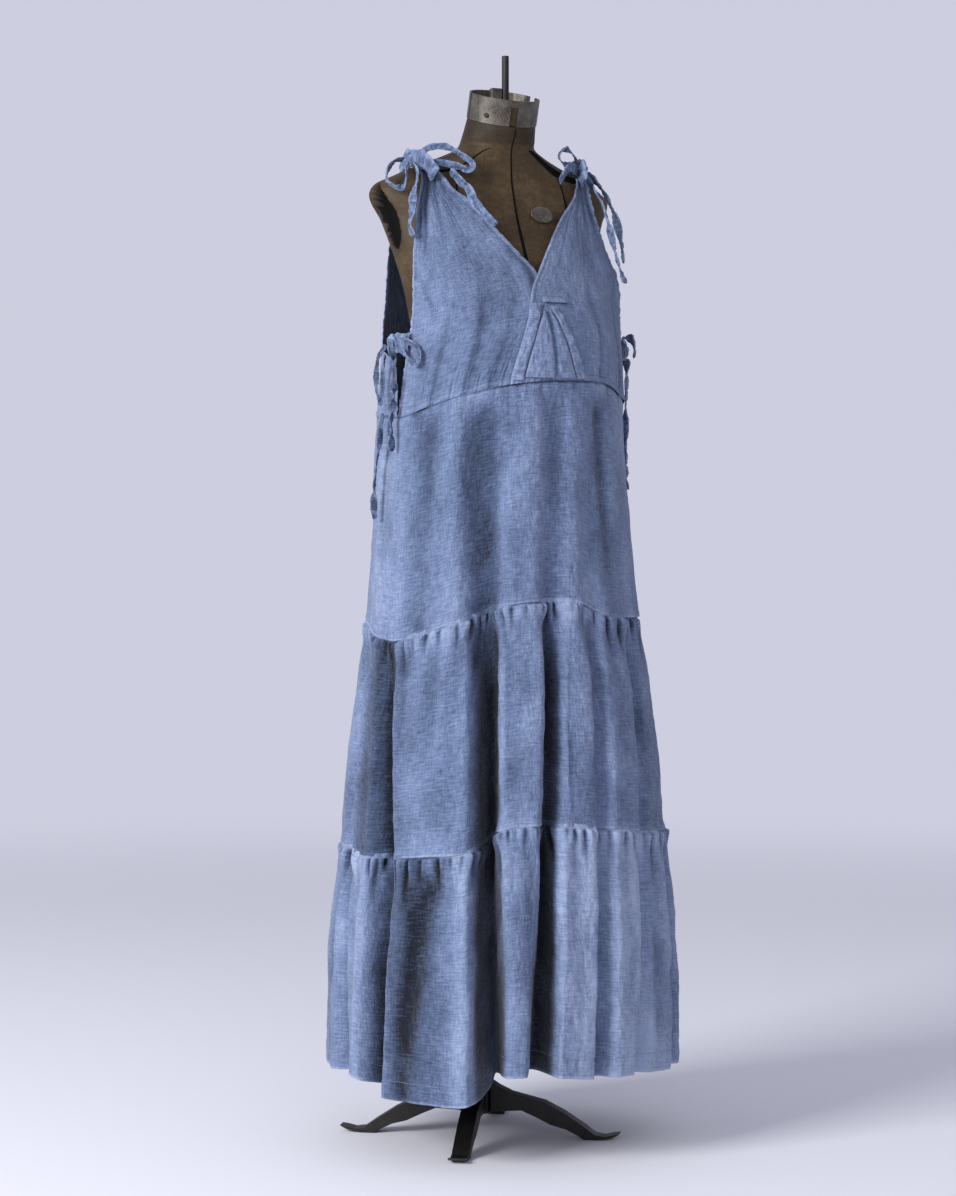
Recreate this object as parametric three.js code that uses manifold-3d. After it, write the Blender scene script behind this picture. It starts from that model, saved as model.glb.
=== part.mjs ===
// A tiered sundress that ties at the shoulders and underarms, standing on the
// limbless dress form and cast iron foot that hold it up. Millimetres, +Z up,
// the garment's front faces -Y and the wearer's right is -X.
import * as THREE from 'three';
import { mergeVertices } from 'three/addons/utils/BufferGeometryUtils.js';
import Module from 'manifold-3d';

const wasm = await Module();
wasm.setup();

// ---------------------------------------------------------------- dimensions

const clothThickness = 1.6;
const seamGap = 0.3;
const wrapLift = 2.8; // the left front lies this far outside the right front
const trimLift = 3; // bands and inset lie this far outside the left front
const formClearance = 10; // between the form and the bodice
const sideSeam = 80; // degrees from centre front
const knotRadius = 9;
const tailWidth = 9;
const thinTailWidth = 7;

const poleX = -20;
const poleY = 36;
const poleRadius = 11;
const hubRadius = 17;
const hubBottom = 32;
const hubTop = 84;
const legWidth = 24;
const legCount = 4;
const legTurn = -34; // degrees, the first leg from centre front

const collarTilt = 18; // degrees, the collar leans forward
const collarCentre = [0, 1, 1447];
const collarRadius = 49.5;
const collarWall = 2.5;
const collarHeight = 36;
const rodRadius = 5;
const totalHeight = 1520;

// Sections of the form: height, half width, front y, back y, y of the widest place.
const formSections = [
  [800, 148, -95, 110, 0],
  [880, 150, -98, 112, 0],
  [980, 122, -80, 84, 0],
  [1050, 130, -104, 92, 0],
  [1110, 132, -122, 100, 0],
  [1160, 137, -108, 106, 4],
  [1210, 146, -83, 110, 14],
  [1285, 168, -46, 108, 36],
  [1318, 184, -34, 98, 44],
  [1336, 177, -28, 89, 44],
  [1349, 151, -26, 77, 43],
  [1365, 116, -25, 74, 40],
  [1380, 79, -25, 78, 34],
  [1392, 56, -28, 80, 26],
  [1406, 51.5, -33, 68, 17],
  [1429.3, 48, -40, 53, 6.5],
];

// Sections of the bodice, in the same order.
const bodiceSections = [
  [1005, 174, -141, 143, 0],
  [1060, 170, -148, 140, 0],
  [1110, 166, -152, 138, 0],
  [1160, 163, -136, 136, 2],
  [1210, 160, -98, 134, 8],
  [1250, 155, -74, 130, 16],
  [1300, 147, -52, 120, 28],
  [1335, 140, -36, 104, 34],
  [1372, 134, -20, 80, 36],
];

// Half width and half depth of the skirt at its lower two seams and its hem.
const tierOneRing = [196, 170];
const tierTwoRing = [230, 215];
const hemRing = [250, 240];

// Height of each seam and of the hem round the body: degrees, height.
const empireSeam = [
  [-100, 1012], [-75, 1009], [-60, 1020], [-40, 1036], [-18, 1050],
  [8, 1057], [36, 1055], [56, 1039], [80, 1034], [180, 1030],
];
const tierOneSeam = [
  [-115, 730], [-78, 703], [-60, 711], [-38, 733], [-22, 751], [2, 758],
  [14, 752], [27, 737], [60, 734], [120, 733], [180, 736],
];
const tierTwoSeam = [
  [-105, 418], [-75, 411], [-50, 417], [-35, 425], [-24, 454], [-10, 459], [10, 453],
  [40, 442], [75, 436], [180, 432],
];
const hemLine = [
  [-110, 113], [-79, 112], [-70, 95], [-50, 91], [-33, 93], [-27, 124],
  [-10, 128], [5, 122], [25, 120], [45, 114], [90, 113], [180, 113],
];

// Folds run down the skirt. Each has its degrees at the empire seam, the two
// lower seams and the hem, then its depth halfway down the waist and at the
// same last three places, then its half width in degrees at the empire seam
// and in the tiers, where it closes up.
const folds = [
  { at: [-32, -29.7, -29.9, -28.9], depth: [17, 28, 60, 84], width: [10, 4] },
  { at: [2, -1.4, -7.2, -12.2], depth: [6, 14, 44, 70], width: [7, 3] },
  { at: [22, 17, 13.6, 9.6], depth: [7, 9, 15, 22], width: [6, 2.8] },
  { at: [32, 42, 34, 25], depth: [2, 5, 10, 16], width: [6, 2.8] },
  { at: [58, 64, 57, 50], depth: [2, 6, 14, 24], width: [7, 3.4] },
  { at: [84, 86, 78, 73], depth: [2, 6, 22, 40], width: [7, 3.6] },
  { at: [106, 104, 99, 97], depth: [4, 10, 34, 54], width: [8, 3.8] },
  { at: [128, 126, 122, 119], depth: [3, 8, 26, 44], width: [8, 4] },
  { at: [150, 149, 146, 144], depth: [5, 11, 38, 60], width: [8, 4] },
  { at: [172, 170, 169, 168], depth: [3, 8, 26, 44], width: [8, 4] },
  { at: [194, 193, 192, 191], depth: [4, 11, 40, 64], width: [8, 4] },
  { at: [216, 215, 215, 214], depth: [3, 8, 26, 44], width: [8, 4] },
  { at: [237, 236, 237, 237], depth: [5, 10, 34, 54], width: [8, 4] },
  { at: [258, 260, 265, 271], depth: [1, 5, 16, 26], width: [7, 3.4] },
  { at: [276, 282, 290, 288], depth: [1, 6, 30, 50], width: [6, 3.6] },
];

// ------------------------------------------------------------------- helpers

const radians = THREE.MathUtils.degToRad;
const mix = THREE.MathUtils.lerp;

function hermite(before, from, to, after, t, left, span, right) {
  const slopeFrom = (to - before) / (left + span);
  const slopeTo = (after - from) / (span + right);
  const t2 = t * t;
  const t3 = t2 * t;
  return (2 * t3 - 3 * t2 + 1) * from + (t3 - 2 * t2 + t) * span * slopeFrom
    + (3 * t2 - 2 * t3) * to + (t3 - t2) * span * slopeTo;
}

// Values between stations [place, value, value, ...], smooth along the way.
function alongStations(stations, place) {
  const last = stations.length - 1;
  const clamped = THREE.MathUtils.clamp(place, stations[0][0], stations[last][0]);
  let i = 0;
  while (i < last - 1 && stations[i + 1][0] < clamped) i += 1;
  const [p1, p2] = [stations[i], stations[i + 1]];
  const p0 = stations[Math.max(0, i - 1)];
  const p3 = stations[Math.min(last, i + 2)];
  const span = p2[0] - p1[0];
  const t = (clamped - p1[0]) / span;
  return p1.slice(1).map((value, k) => hermite(
    p0[k + 1], value, p2[k + 1], p3[k + 1], t, p1[0] - p0[0], span, p3[0] - p2[0],
  ));
}

// The height of a seam at an angle, once round the body.
function seamHeight(seam, angle) {
  const first = seam[0];
  const lastStation = seam[seam.length - 1];
  const turned = first[0] + THREE.MathUtils.euclideanModulo(angle - first[0], 360);
  const closed = [
    [lastStation[0] - 360, lastStation[1]], ...seam,
    [first[0] + 360, first[1]], [seam[1][0] + 360, seam[1][1]],
  ];
  return alongStations(closed, turned)[0];
}

function ringPoint([halfWidth, frontY, backY, middleY], angle, squareness) {
  const sine = Math.sin(radians(angle));
  const cosine = Math.cos(radians(angle));
  if (cosine >= 0) return [halfWidth * sine, middleY + (frontY - middleY) * cosine];
  const power = 2 / squareness;
  return [
    halfWidth * Math.sign(sine) * Math.abs(sine) ** power,
    middleY + (backY - middleY) * Math.abs(cosine) ** power,
  ];
}

// A closed wall over a grid of [angle, height or share of a tier]. place gives
// the outer points; the inner face lies level with them, inwards.
function wallGeometry(grid, place) {
  const rowCount = grid.length;
  const columnCount = grid[0].length;
  const nearby = 0.8; // degrees to each side, for the direction along the cloth
  const rows = grid.map((row) => row.map(([angle, other]) => place(angle, other)));
  const inner = grid.map((row, r) => row.map(([angle, other], c) => {
    const [next, previous] = [place(angle + nearby, other), place(angle - nearby, other)];
    const along = new THREE.Vector2(next[0] - previous[0], next[1] - previous[1]);
    along.normalize();
    const [x, y, z] = rows[r][c];
    return [x - along.y * clothThickness, y + along.x * clothThickness, z];
  }));
  const positions = [...rows, ...inner].flat(2);
  const index = [];
  const at = (side, r, c) => (side * rowCount + r) * columnCount + c;
  const quad = (a, b, c, d) => index.push(a, b, c, a, c, d);
  for (let r = 0; r < rowCount - 1; r += 1) {
    for (let c = 0; c < columnCount - 1; c += 1) {
      quad(at(0, r, c), at(0, r + 1, c), at(0, r + 1, c + 1), at(0, r, c + 1));
      quad(at(1, r, c), at(1, r, c + 1), at(1, r + 1, c + 1), at(1, r + 1, c));
    }
    const end = columnCount - 1;
    quad(at(0, r, 0), at(1, r, 0), at(1, r + 1, 0), at(0, r + 1, 0));
    quad(at(0, r, end), at(0, r + 1, end), at(1, r + 1, end), at(1, r, end));
  }
  for (let c = 0; c < columnCount - 1; c += 1) {
    const end = rowCount - 1;
    quad(at(0, 0, c), at(0, 0, c + 1), at(1, 0, c + 1), at(1, 0, c));
    quad(at(0, end, c), at(1, end, c), at(1, end, c + 1), at(0, end, c + 1));
  }
  const geometry = new THREE.BufferGeometry();
  geometry.setAttribute('position', new THREE.Float32BufferAttribute(positions, 3));
  geometry.setIndex(index);
  geometry.computeVertexNormals();
  return geometry;
}

// ----------------------------------------------------------------- materials

const finishes = {
  chambray: { color: 0x7d8fb8, roughness: 0.92, metalness: 0 },
  formBody: { color: 0x5a4c3c, roughness: 0.62, metalness: 0 },
  collarMetal: { color: 0x6d665a, roughness: 0.42, metalness: 0.75 },
  castIron: { color: 0x151314, roughness: 0.55, metalness: 0.6 },
};

const group = new THREE.Group();

function add(parent, name, geometry, finish) {
  const mesh = new THREE.Mesh(geometry, new THREE.MeshStandardMaterial(finishes[finish]));
  mesh.name = name;
  parent.add(mesh);
  return mesh;
}

// --------------------------------------------------------------- dress form

function formRing(height, sides) {
  const section = alongStations(formSections, height);
  const lean = THREE.MathUtils.smoothstep(height, 1384, 1429) * Math.tan(radians(collarTilt));
  return Array.from({ length: sides }, (_, i) => {
    const [x, y] = ringPoint(section, (i / sides) * 360, 2);
    return [x, y, height + (y - section[3]) * lean];
  });
}

function closedLoft(rings) {
  const sides = rings[0].length;
  const positions = rings.flat(2);
  const index = [];
  for (let r = 0; r < rings.length - 1; r += 1) {
    for (let i = 0; i < sides; i += 1) {
      const next = (i + 1) % sides;
      const [a, b] = [r * sides + i, r * sides + next];
      index.push(a, b, b + sides, a, b + sides, a + sides);
    }
  }
  for (const [r, outward] of [[0, -1], [rings.length - 1, 1]]) {
    const centre = [0, 1, 2].map(
      (k) => rings[r].reduce((sum, point) => sum + point[k], 0) / sides,
    );
    const middle = positions.length / 3;
    positions.push(...centre);
    for (let i = 0; i < sides; i += 1) {
      const edge = [r * sides + i, r * sides + ((i + 1) % sides)];
      if (outward < 0) edge.reverse();
      index.push(middle, ...edge);
    }
  }
  const geometry = new THREE.BufferGeometry();
  geometry.setAttribute('position', new THREE.Float32BufferAttribute(positions, 3));
  geometry.setIndex(index);
  return geometry;
}

function toSolid(geometry) {
  const bare = new THREE.BufferGeometry();
  bare.setAttribute('position', geometry.getAttribute('position'));
  bare.setIndex(geometry.getIndex());
  const merged = mergeVertices(bare, 1e-4);
  return new wasm.Manifold(new wasm.Mesh({
    numProp: 3,
    vertProperties: new Float32Array(merged.getAttribute('position').array),
    triVerts: new Uint32Array(merged.getIndex().array),
  }));
}

function fromSolid(solid) {
  const mesh = solid.getMesh();
  const geometry = new THREE.BufferGeometry();
  geometry.setAttribute('position', new THREE.Float32BufferAttribute(mesh.vertProperties, 3));
  geometry.setIndex(Array.from(mesh.triVerts));
  geometry.computeVertexNormals();
  return geometry;
}

// The hollow of an armhole: an egg that opens through the side of the form.
const armholeCentre = [176, 27, 1288];
const armholeRadii = [50, 20, 50];
const armholeLean = -16; // degrees, its lower end comes forward

function armholeEgg(side) {
  const egg = new THREE.SphereGeometry(1, 16, 10);
  egg.scale(...armholeRadii);
  egg.rotateX(radians(armholeLean));
  egg.translate(side * armholeCentre[0], armholeCentre[1], armholeCentre[2]);
  return toSolid(egg);
}

function buildTorso() {
  const heights = [
    800, 860, 920, 980, 1030, 1080, 1120, 1160, 1200, 1240, 1270, 1300, 1320, 1332,
    1341, 1350, 1360, 1370, 1380, 1390, 1400, 1414, 1429.3,
  ];
  let torso = toSolid(closedLoft(heights.map((height) => formRing(height, 32))));
  for (const side of [-1, 1]) torso = torso.subtract(armholeEgg(side));
  add(group, 'form_torso', fromSolid(torso), 'formBody');
}

function bandGeometry(fromAngle, toAngle, height) {
  const inner = collarRadius - collarWall;
  const shape = new THREE.Shape();
  shape.absarc(0, 0, collarRadius, radians(fromAngle - 90), radians(toAngle - 90), false);
  shape.absarc(0, 0, inner, radians(toAngle - 90), radians(fromAngle - 90), true);
  return new THREE.ExtrudeGeometry(shape, {
    depth: height, bevelEnabled: false, curveSegments: 14,
  });
}

function buildCollar() {
  const collar = new THREE.Group();
  collar.position.set(...collarCentre);
  collar.rotation.x = radians(collarTilt);
  group.add(collar);

  const plugHeight = 26;
  const plugRadius = collarRadius - collarWall - seamGap;
  const plug = new THREE.CylinderGeometry(plugRadius, plugRadius, plugHeight, 32);
  plug.rotateX(Math.PI / 2);
  const underside = -collarHeight / 2;
  add(collar, 'neck_plate', plug, 'formBody').position.z = underside + plugHeight / 2;

  const bands = [
    ['collar_band_right', -92, -12],
    ['collar_band_left', 1, 92],
    ['collar_band_rear', 108, 262],
  ];
  for (const [name, from, to] of bands) {
    add(collar, name, bandGeometry(from, to, collarHeight), 'collarMetal')
      .position.z = underside;
  }

  const screw = new THREE.CylinderGeometry(3.4, 3.4, 2, 16);
  const screwAngle = radians(-51);
  const screwHead = add(collar, 'collar_screw', screw, 'castIron');
  const screwReach = collarRadius + 1 + seamGap;
  screwHead.rotation.z = screwAngle;
  screwHead.position.set(
    Math.sin(screwAngle) * screwReach, -Math.cos(screwAngle) * screwReach, -7,
  );

  const rodFoot = 1457;
  const rod = new THREE.CylinderGeometry(rodRadius, rodRadius, totalHeight - rodFoot, 20);
  rod.rotateX(Math.PI / 2);
  rod.translate(2, -2, (totalHeight + rodFoot) / 2);
  add(group, 'rod', rod, 'castIron');
  const tab = new THREE.BoxGeometry(16, 9, 17);
  tab.translate(-12, 0, 1465.5);
  add(group, 'rod_tab', tab, 'collarMetal');
}

function buildBadge() {
  const badge = new THREE.CylinderGeometry(1, 1, 2, 24);
  badge.scale(18, 1, 12.5);
  badge.rotateX(radians(-19));
  badge.rotateZ(radians(7));
  badge.translate(39, -43, 1295);
  add(group, 'badge_plate', badge, 'collarMetal');
}

// --------------------------------------------------------------- iron foot

function buildFoot() {
  const hub = new THREE.LatheGeometry([
    [0, hubBottom], [hubRadius - 2, hubBottom], [hubRadius, hubBottom + 3],
    [hubRadius, 62], [poleRadius + 3, 74], [poleRadius + 1, hubTop], [0, hubTop],
  ].map(([r, z]) => new THREE.Vector2(r, z)), 24);
  hub.rotateX(Math.PI / 2);
  hub.translate(poleX, poleY, 0);
  add(group, 'foot_hub', hub, 'castIron');

  const poleFoot = hubTop + seamGap;
  const poleTop = formSections[0][0] - seamGap;
  const pole = new THREE.CylinderGeometry(poleRadius, poleRadius, poleTop - poleFoot, 20);
  pole.rotateX(Math.PI / 2);
  pole.translate(poleX, poleY, (poleTop + poleFoot) / 2);
  add(group, 'pole', pole, 'castIron');

  // The arched side of one leg: distance out from the hub's face, height.
  const legSide = [
    [0, 34], [12, 37], [44, 38.5], [64, 30], [86, 19.5], [107, 14], [124, 6], [132, 0],
    [150, 0], [162, 1.5], [174, 4.5], [183, 9.5], [175, 8.5], [162, 5.5], [148, 7.5],
    [132, 19], [104, 37], [76, 51], [29, 62.5], [11, 71], [0, 78],
  ];
  const side = new THREE.Shape(legSide.map(([r, z]) => new THREE.Vector2(r, z)));
  const standOff = hubRadius + seamGap;
  for (let i = 0; i < legCount; i += 1) {
    const leg = new THREE.ExtrudeGeometry(side, { depth: legWidth, bevelEnabled: false });
    leg.translate(standOff, 0, -legWidth / 2);
    leg.rotateX(Math.PI / 2);
    const mesh = add(group, `leg_${i + 1}`, leg, 'castIron');
    mesh.position.set(poleX, poleY, 0);
    mesh.rotation.z = radians(legTurn - 90 + (i * 360) / legCount);
  }
}

// ------------------------------------------------------------------- bodice

function formSurfaceY(section, x, towardsBack) {
  const [halfWidth, frontY, backY, middleY] = section;
  const reach = Math.sqrt(Math.max(0, 1 - (x / halfWidth) ** 2));
  return middleY + ((towardsBack ? backY : frontY) - middleY) * reach;
}

function smoothMinimum(a, b, blend) {
  const h = THREE.MathUtils.clamp(0.5 + (0.5 * (b - a)) / blend, 0, 1);
  return mix(b, a, h) - blend * h * (1 - h);
}

// A point of the bodice at an angle and a height, moved out by lift.
function bodicePoint(angle, height, lift = 0) {
  const section = alongStations(bodiceSections, height);
  const form = alongStations(formSections, height);
  let [x, y] = ringPoint(section, angle, 2.7);
  if (Math.cos(radians(angle)) > -0.05) {
    y = smoothMinimum(y, formSurfaceY(form, x, false) - formClearance, 6);
  } else {
    y = -smoothMinimum(-y, -formSurfaceY(form, x, true) - formClearance, 6);
  }
  const out = new THREE.Vector2(x, y - section[3]).normalize();
  return [x + out.x * lift, y + out.y * lift, height];
}

function edgeCurve(points) {
  return new THREE.CatmullRomCurve3(
    points.map(([angle, height]) => new THREE.Vector3(angle * 2.5, height, 0)),
    false, 'centripetal',
  );
}

// Rows of (angle, height) that fill the space between four edges. The sides run
// from the top down, the ends from the wearer's right to the left.
function fillBetween(rightEdge, leftEdge, topEdge, bottomEdge, rowCount, columnCount) {
  const [right, left, top] = [rightEdge, leftEdge, topEdge].map(edgeCurve);
  const at = (curve, t) => curve.getPointAt(t);
  const bottom = (u) => {
    const angle = mix(bottomEdge[0], bottomEdge[1], u);
    return new THREE.Vector3(angle * 2.5, bottomEdge[2](angle), 0);
  };
  const corners = [at(right, 0), at(left, 0), at(right, 1), at(left, 1)];
  return Array.from({ length: rowCount }, (_, r) => {
    const v = r / (rowCount - 1);
    return Array.from({ length: columnCount }, (__, c) => {
      const u = c / (columnCount - 1);
      const blend = (key) => mix(at(top, u)[key], bottom(u)[key], v)
        + mix(at(right, v)[key], at(left, v)[key], u)
        - mix(mix(corners[0][key], corners[1][key], u), mix(corners[2][key], corners[3][key], u), v);
      return [blend('x') / 2.5, blend('y')];
    });
  });
}

const aboveEmpire = (angle) => seamHeight(empireSeam, angle) + seamGap / 2;

function buildFronts() {
  const rightEdge = [
    [-68, 1358], [-73, 1310], [-69, 1254], [-71, 1197], [-74, 1142], [-76, 1107],
    [-78, 1071], [-79.9, aboveEmpire(-79.9)],
  ];
  const underWrap = [
    [-52, 1356], [-40, 1327], [-28, 1308], [-14, 1265], [-5, 1234], [1, 1208], [0, 1178],
    [-5, 1131], [-9, 1096], [-12, 1065], [-12.5, aboveEmpire(-12.5)],
  ];
  const rightFront = fillBetween(
    rightEdge, underWrap, [rightEdge[0], underWrap[0]], [-79.9, -12.5, aboveEmpire], 13, 11,
  );
  add(group, 'bodice_front_right', wallGeometry(rightFront, bodicePoint), 'chambray');

  const wrapEdge = [
    [50, 1354], [39, 1323], [24, 1289], [12, 1249], [2, 1210], [-6, 1178], [-12, 1131],
    [-16, 1096], [-18.5, 1065], [-19, aboveEmpire(-19)],
  ];
  const leftEdge = [
    [64, 1357], [60, 1317], [63, 1285], [67, 1241], [68, 1211], [67, 1175], [68, 1138],
    [74, 1107], [78, 1071], [79.9, aboveEmpire(79.9)],
  ];
  const leftFront = fillBetween(
    wrapEdge, leftEdge, [wrapEdge[0], leftEdge[0]], [-19, 79.9, aboveEmpire], 13, 13,
  );
  add(group, 'bodice_front_left', wallGeometry(leftFront, leftFrontPoint), 'chambray');
}

// The left front stands away from the body beside its armhole.
function leftFrontPoint(angle, height, lift = 0) {
  const besideArmhole = THREE.MathUtils.smoothstep(angle, 38, 66);
  const flare = 11 * besideArmhole * Math.exp(-(((height - 1212) / 45) ** 2));
  return bodicePoint(angle, height, wrapLift + flare + lift);
}

// Bands and a gusset let into the left front below the bust, as strips. A strip
// is a list of [height, angle at one side, angle at the other], bottom up.
function buildBustInset() {
  const strips = {
    wrap_band: [
      [1056, -18.6, -13], [1065, -18.2, -12.8], [1096, -15.7, -10.6], [1131, -11.6, -6.6],
      [1162, -7.6, -3],
    ],
    bust_inset: [
      [1060, -12.4, 13.2], [1065, -12.2, 12.2], [1096, -10, 8.5], [1131, -6, 4.2],
      [1152, -2.4, 0.6],
    ],
    inset_band: [
      [1060.5, 13.8, 19.4], [1065, 12.8, 18.4], [1096, 9.1, 14], [1131, 4.8, 9],
      [1158, 1.2, 5.2],
    ],
    inset_bar: [[1163.5, -2, 11], [1169, -2, 11]],
  };
  const rowSpacing = 12;
  for (const [name, stations] of Object.entries(strips)) {
    const columnCount = name === 'bust_inset' ? 6 : 3;
    const [low, high] = [stations[0][0], stations[stations.length - 1][0]];
    const rowCount = Math.max(2, Math.round((high - low) / rowSpacing));
    const strip = Array.from({ length: rowCount }, (_, r) => {
      const height = mix(high, low, r / (rowCount - 1));
      const [from, to] = alongStations(stations, height);
      return Array.from({ length: columnCount }, (__, c) => [
        mix(from, to, c / (columnCount - 1)), height,
      ]);
    });
    const place = (angle, height) => leftFrontPoint(angle, height, trimLift);
    add(group, name, wallGeometry(strip, place), 'chambray');
  }
}

function buildBack() {
  const side = [
    [99, 1366], [109, 1345], [118, 1300], [122, 1240], [119, 1180], [106, 1130],
    [88, 1107], [83, 1071], [80.1, aboveEmpire(80.1)],
  ];
  const mirrored = side.slice(0, -1).map(([angle, height]) => [360 - angle, height]);
  mirrored.push([279.9, aboveEmpire(279.9)]);
  const neck = [
    side[0], [113, 1363], [130, 1342], [146, 1304], [163, 1276], [180, 1268],
    [197, 1276], [214, 1304], [230, 1342], [247, 1363], mirrored[0],
  ];
  const back = fillBetween(side, mirrored, neck, [80.1, 279.9, aboveEmpire], 11, 17);
  add(group, 'bodice_back', wallGeometry(back, bodicePoint), 'chambray');
}

// -------------------------------------------------------------------- skirt

const tiers = [
  { name: 'waist', flare: (v) => v ** 1.2 },
  { name: 'tier_one', flare: (v) => 1 - (1 - v) ** 1.5 },
  { name: 'tier_two', flare: (v) => 1 - (1 - v) ** 2.6 },
];
const tierRows = 6;
const skirtSeams = [empireSeam, tierOneSeam, tierTwoSeam, hemLine];
const skirtRings = [null, tierOneRing, tierTwoRing, hemRing];

// What each fold does at a level, where 0 is the empire seam and 3 the hem: how
// far the angle is from its middle in half widths, and its depth.
function foldsAt(angle, level) {
  const whole = Math.min(2, Math.floor(level));
  return folds.map(({ at, depth, width }) => {
    const place = mix(at[whole], at[whole + 1], level - whole);
    const belowSeam = mix(depth[1], depth[2], 0.7);
    const depths = [
      [0, 0], [0.5, depth[0]], [1, depth[1]], [1.3, belowSeam], [2, depth[2]], [3, depth[3]],
    ];
    const seamWidth = mix(width[0], width[1], 0.45);
    const widths = [[0, width[0]], [1, seamWidth], [1.3, width[1] * 1.15], [3, width[1]]];
    const away = THREE.MathUtils.euclideanModulo(angle - place + 180, 360) - 180;
    return {
      away: Math.abs(away) / alongStations(widths, level)[0],
      deep: alongStations(depths, level)[0],
    };
  });
}

function foldDepth(angle, level) {
  return foldsAt(angle, level)
    .reduce((sum, { away, deep }) => sum + deep * Math.exp(-(away ** 2.2)), 0);
}

// Angles of a panel's columns at a level, closer together in the folds.
function columnsAt(level, from, to, columnCount) {
  const steps = 400;
  const crowding = Array.from({ length: steps }, (_, i) => foldsAt(
    mix(from, to, (i + 0.5) / steps), level,
  ).reduce((sum, { away, deep }) => sum + Math.min(1, deep / 25) * 3.4 * Math.exp(-((away / 1.5) ** 2)), 1));
  const whole = crowding.reduce((sum, value) => sum + value, 0);
  const columns = [from];
  let passed = 0;
  crowding.forEach((value, i) => {
    const wanted = (columns.length / (columnCount - 1)) * whole;
    if (passed + value >= wanted && columns.length < columnCount - 1) {
      columns.push(mix(from, to, (i + (wanted - passed) / value) / steps));
    }
    passed += value;
  });
  return [...columns, to];
}

function seamRing(tier, angle) {
  if (tier === 0) return bodicePoint(angle, seamHeight(empireSeam, angle)).slice(0, 2);
  const [halfWidth, halfDepth] = skirtRings[tier];
  return ringPoint([halfWidth, -halfDepth, halfDepth, 0], angle, 2);
}

function skirtPoint(tier, angle, v) {
  const [x0, y0] = seamRing(tier, angle);
  const [x1, y1] = seamRing(tier + 1, angle);
  const w = tiers[tier].flare(v);
  const [x, y] = [mix(x0, x1, w), mix(y0, y1, w)];
  const inward = 1 - foldDepth(angle, tier + v) / Math.hypot(x, y);
  const upper = seamHeight(skirtSeams[tier], angle) - seamGap / 2;
  const lower = seamHeight(skirtSeams[tier + 1], angle) + (tier < 2 ? seamGap / 2 : 0);
  return [x * inward, y * inward, mix(upper, lower, v)];
}

function buildSkirt() {
  const inset = 0.06; // degrees from the side seam to the edge of a panel
  const spans = [
    ['front', -sideSeam + inset, sideSeam - inset, 38],
    ['back', sideSeam + inset, 360 - sideSeam - inset, 34],
  ];
  tiers.forEach((tier, number) => {
    const place = (angle, v) => skirtPoint(number, angle, v);
    for (const [side, from, to, columnCount] of spans) {
      const grid = Array.from({ length: tierRows }, (_, r) => {
        const v = r / (tierRows - 1);
        return columnsAt(number + v, from, to, columnCount).map((angle) => [angle, v]);
      });
      add(group, `${tier.name}_${side}`, wallGeometry(grid, place), 'chambray');
    }
  });
}

// --------------------------------------------------------------------- ties

const knots = {
  shoulder_knot_right: [-132, 20, 1372],
  shoulder_knot_left: [130, 22, 1372],
  side_knot_right: [-176, -22, 1110],
  side_knot_left: [176, -24, 1112],
};

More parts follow.
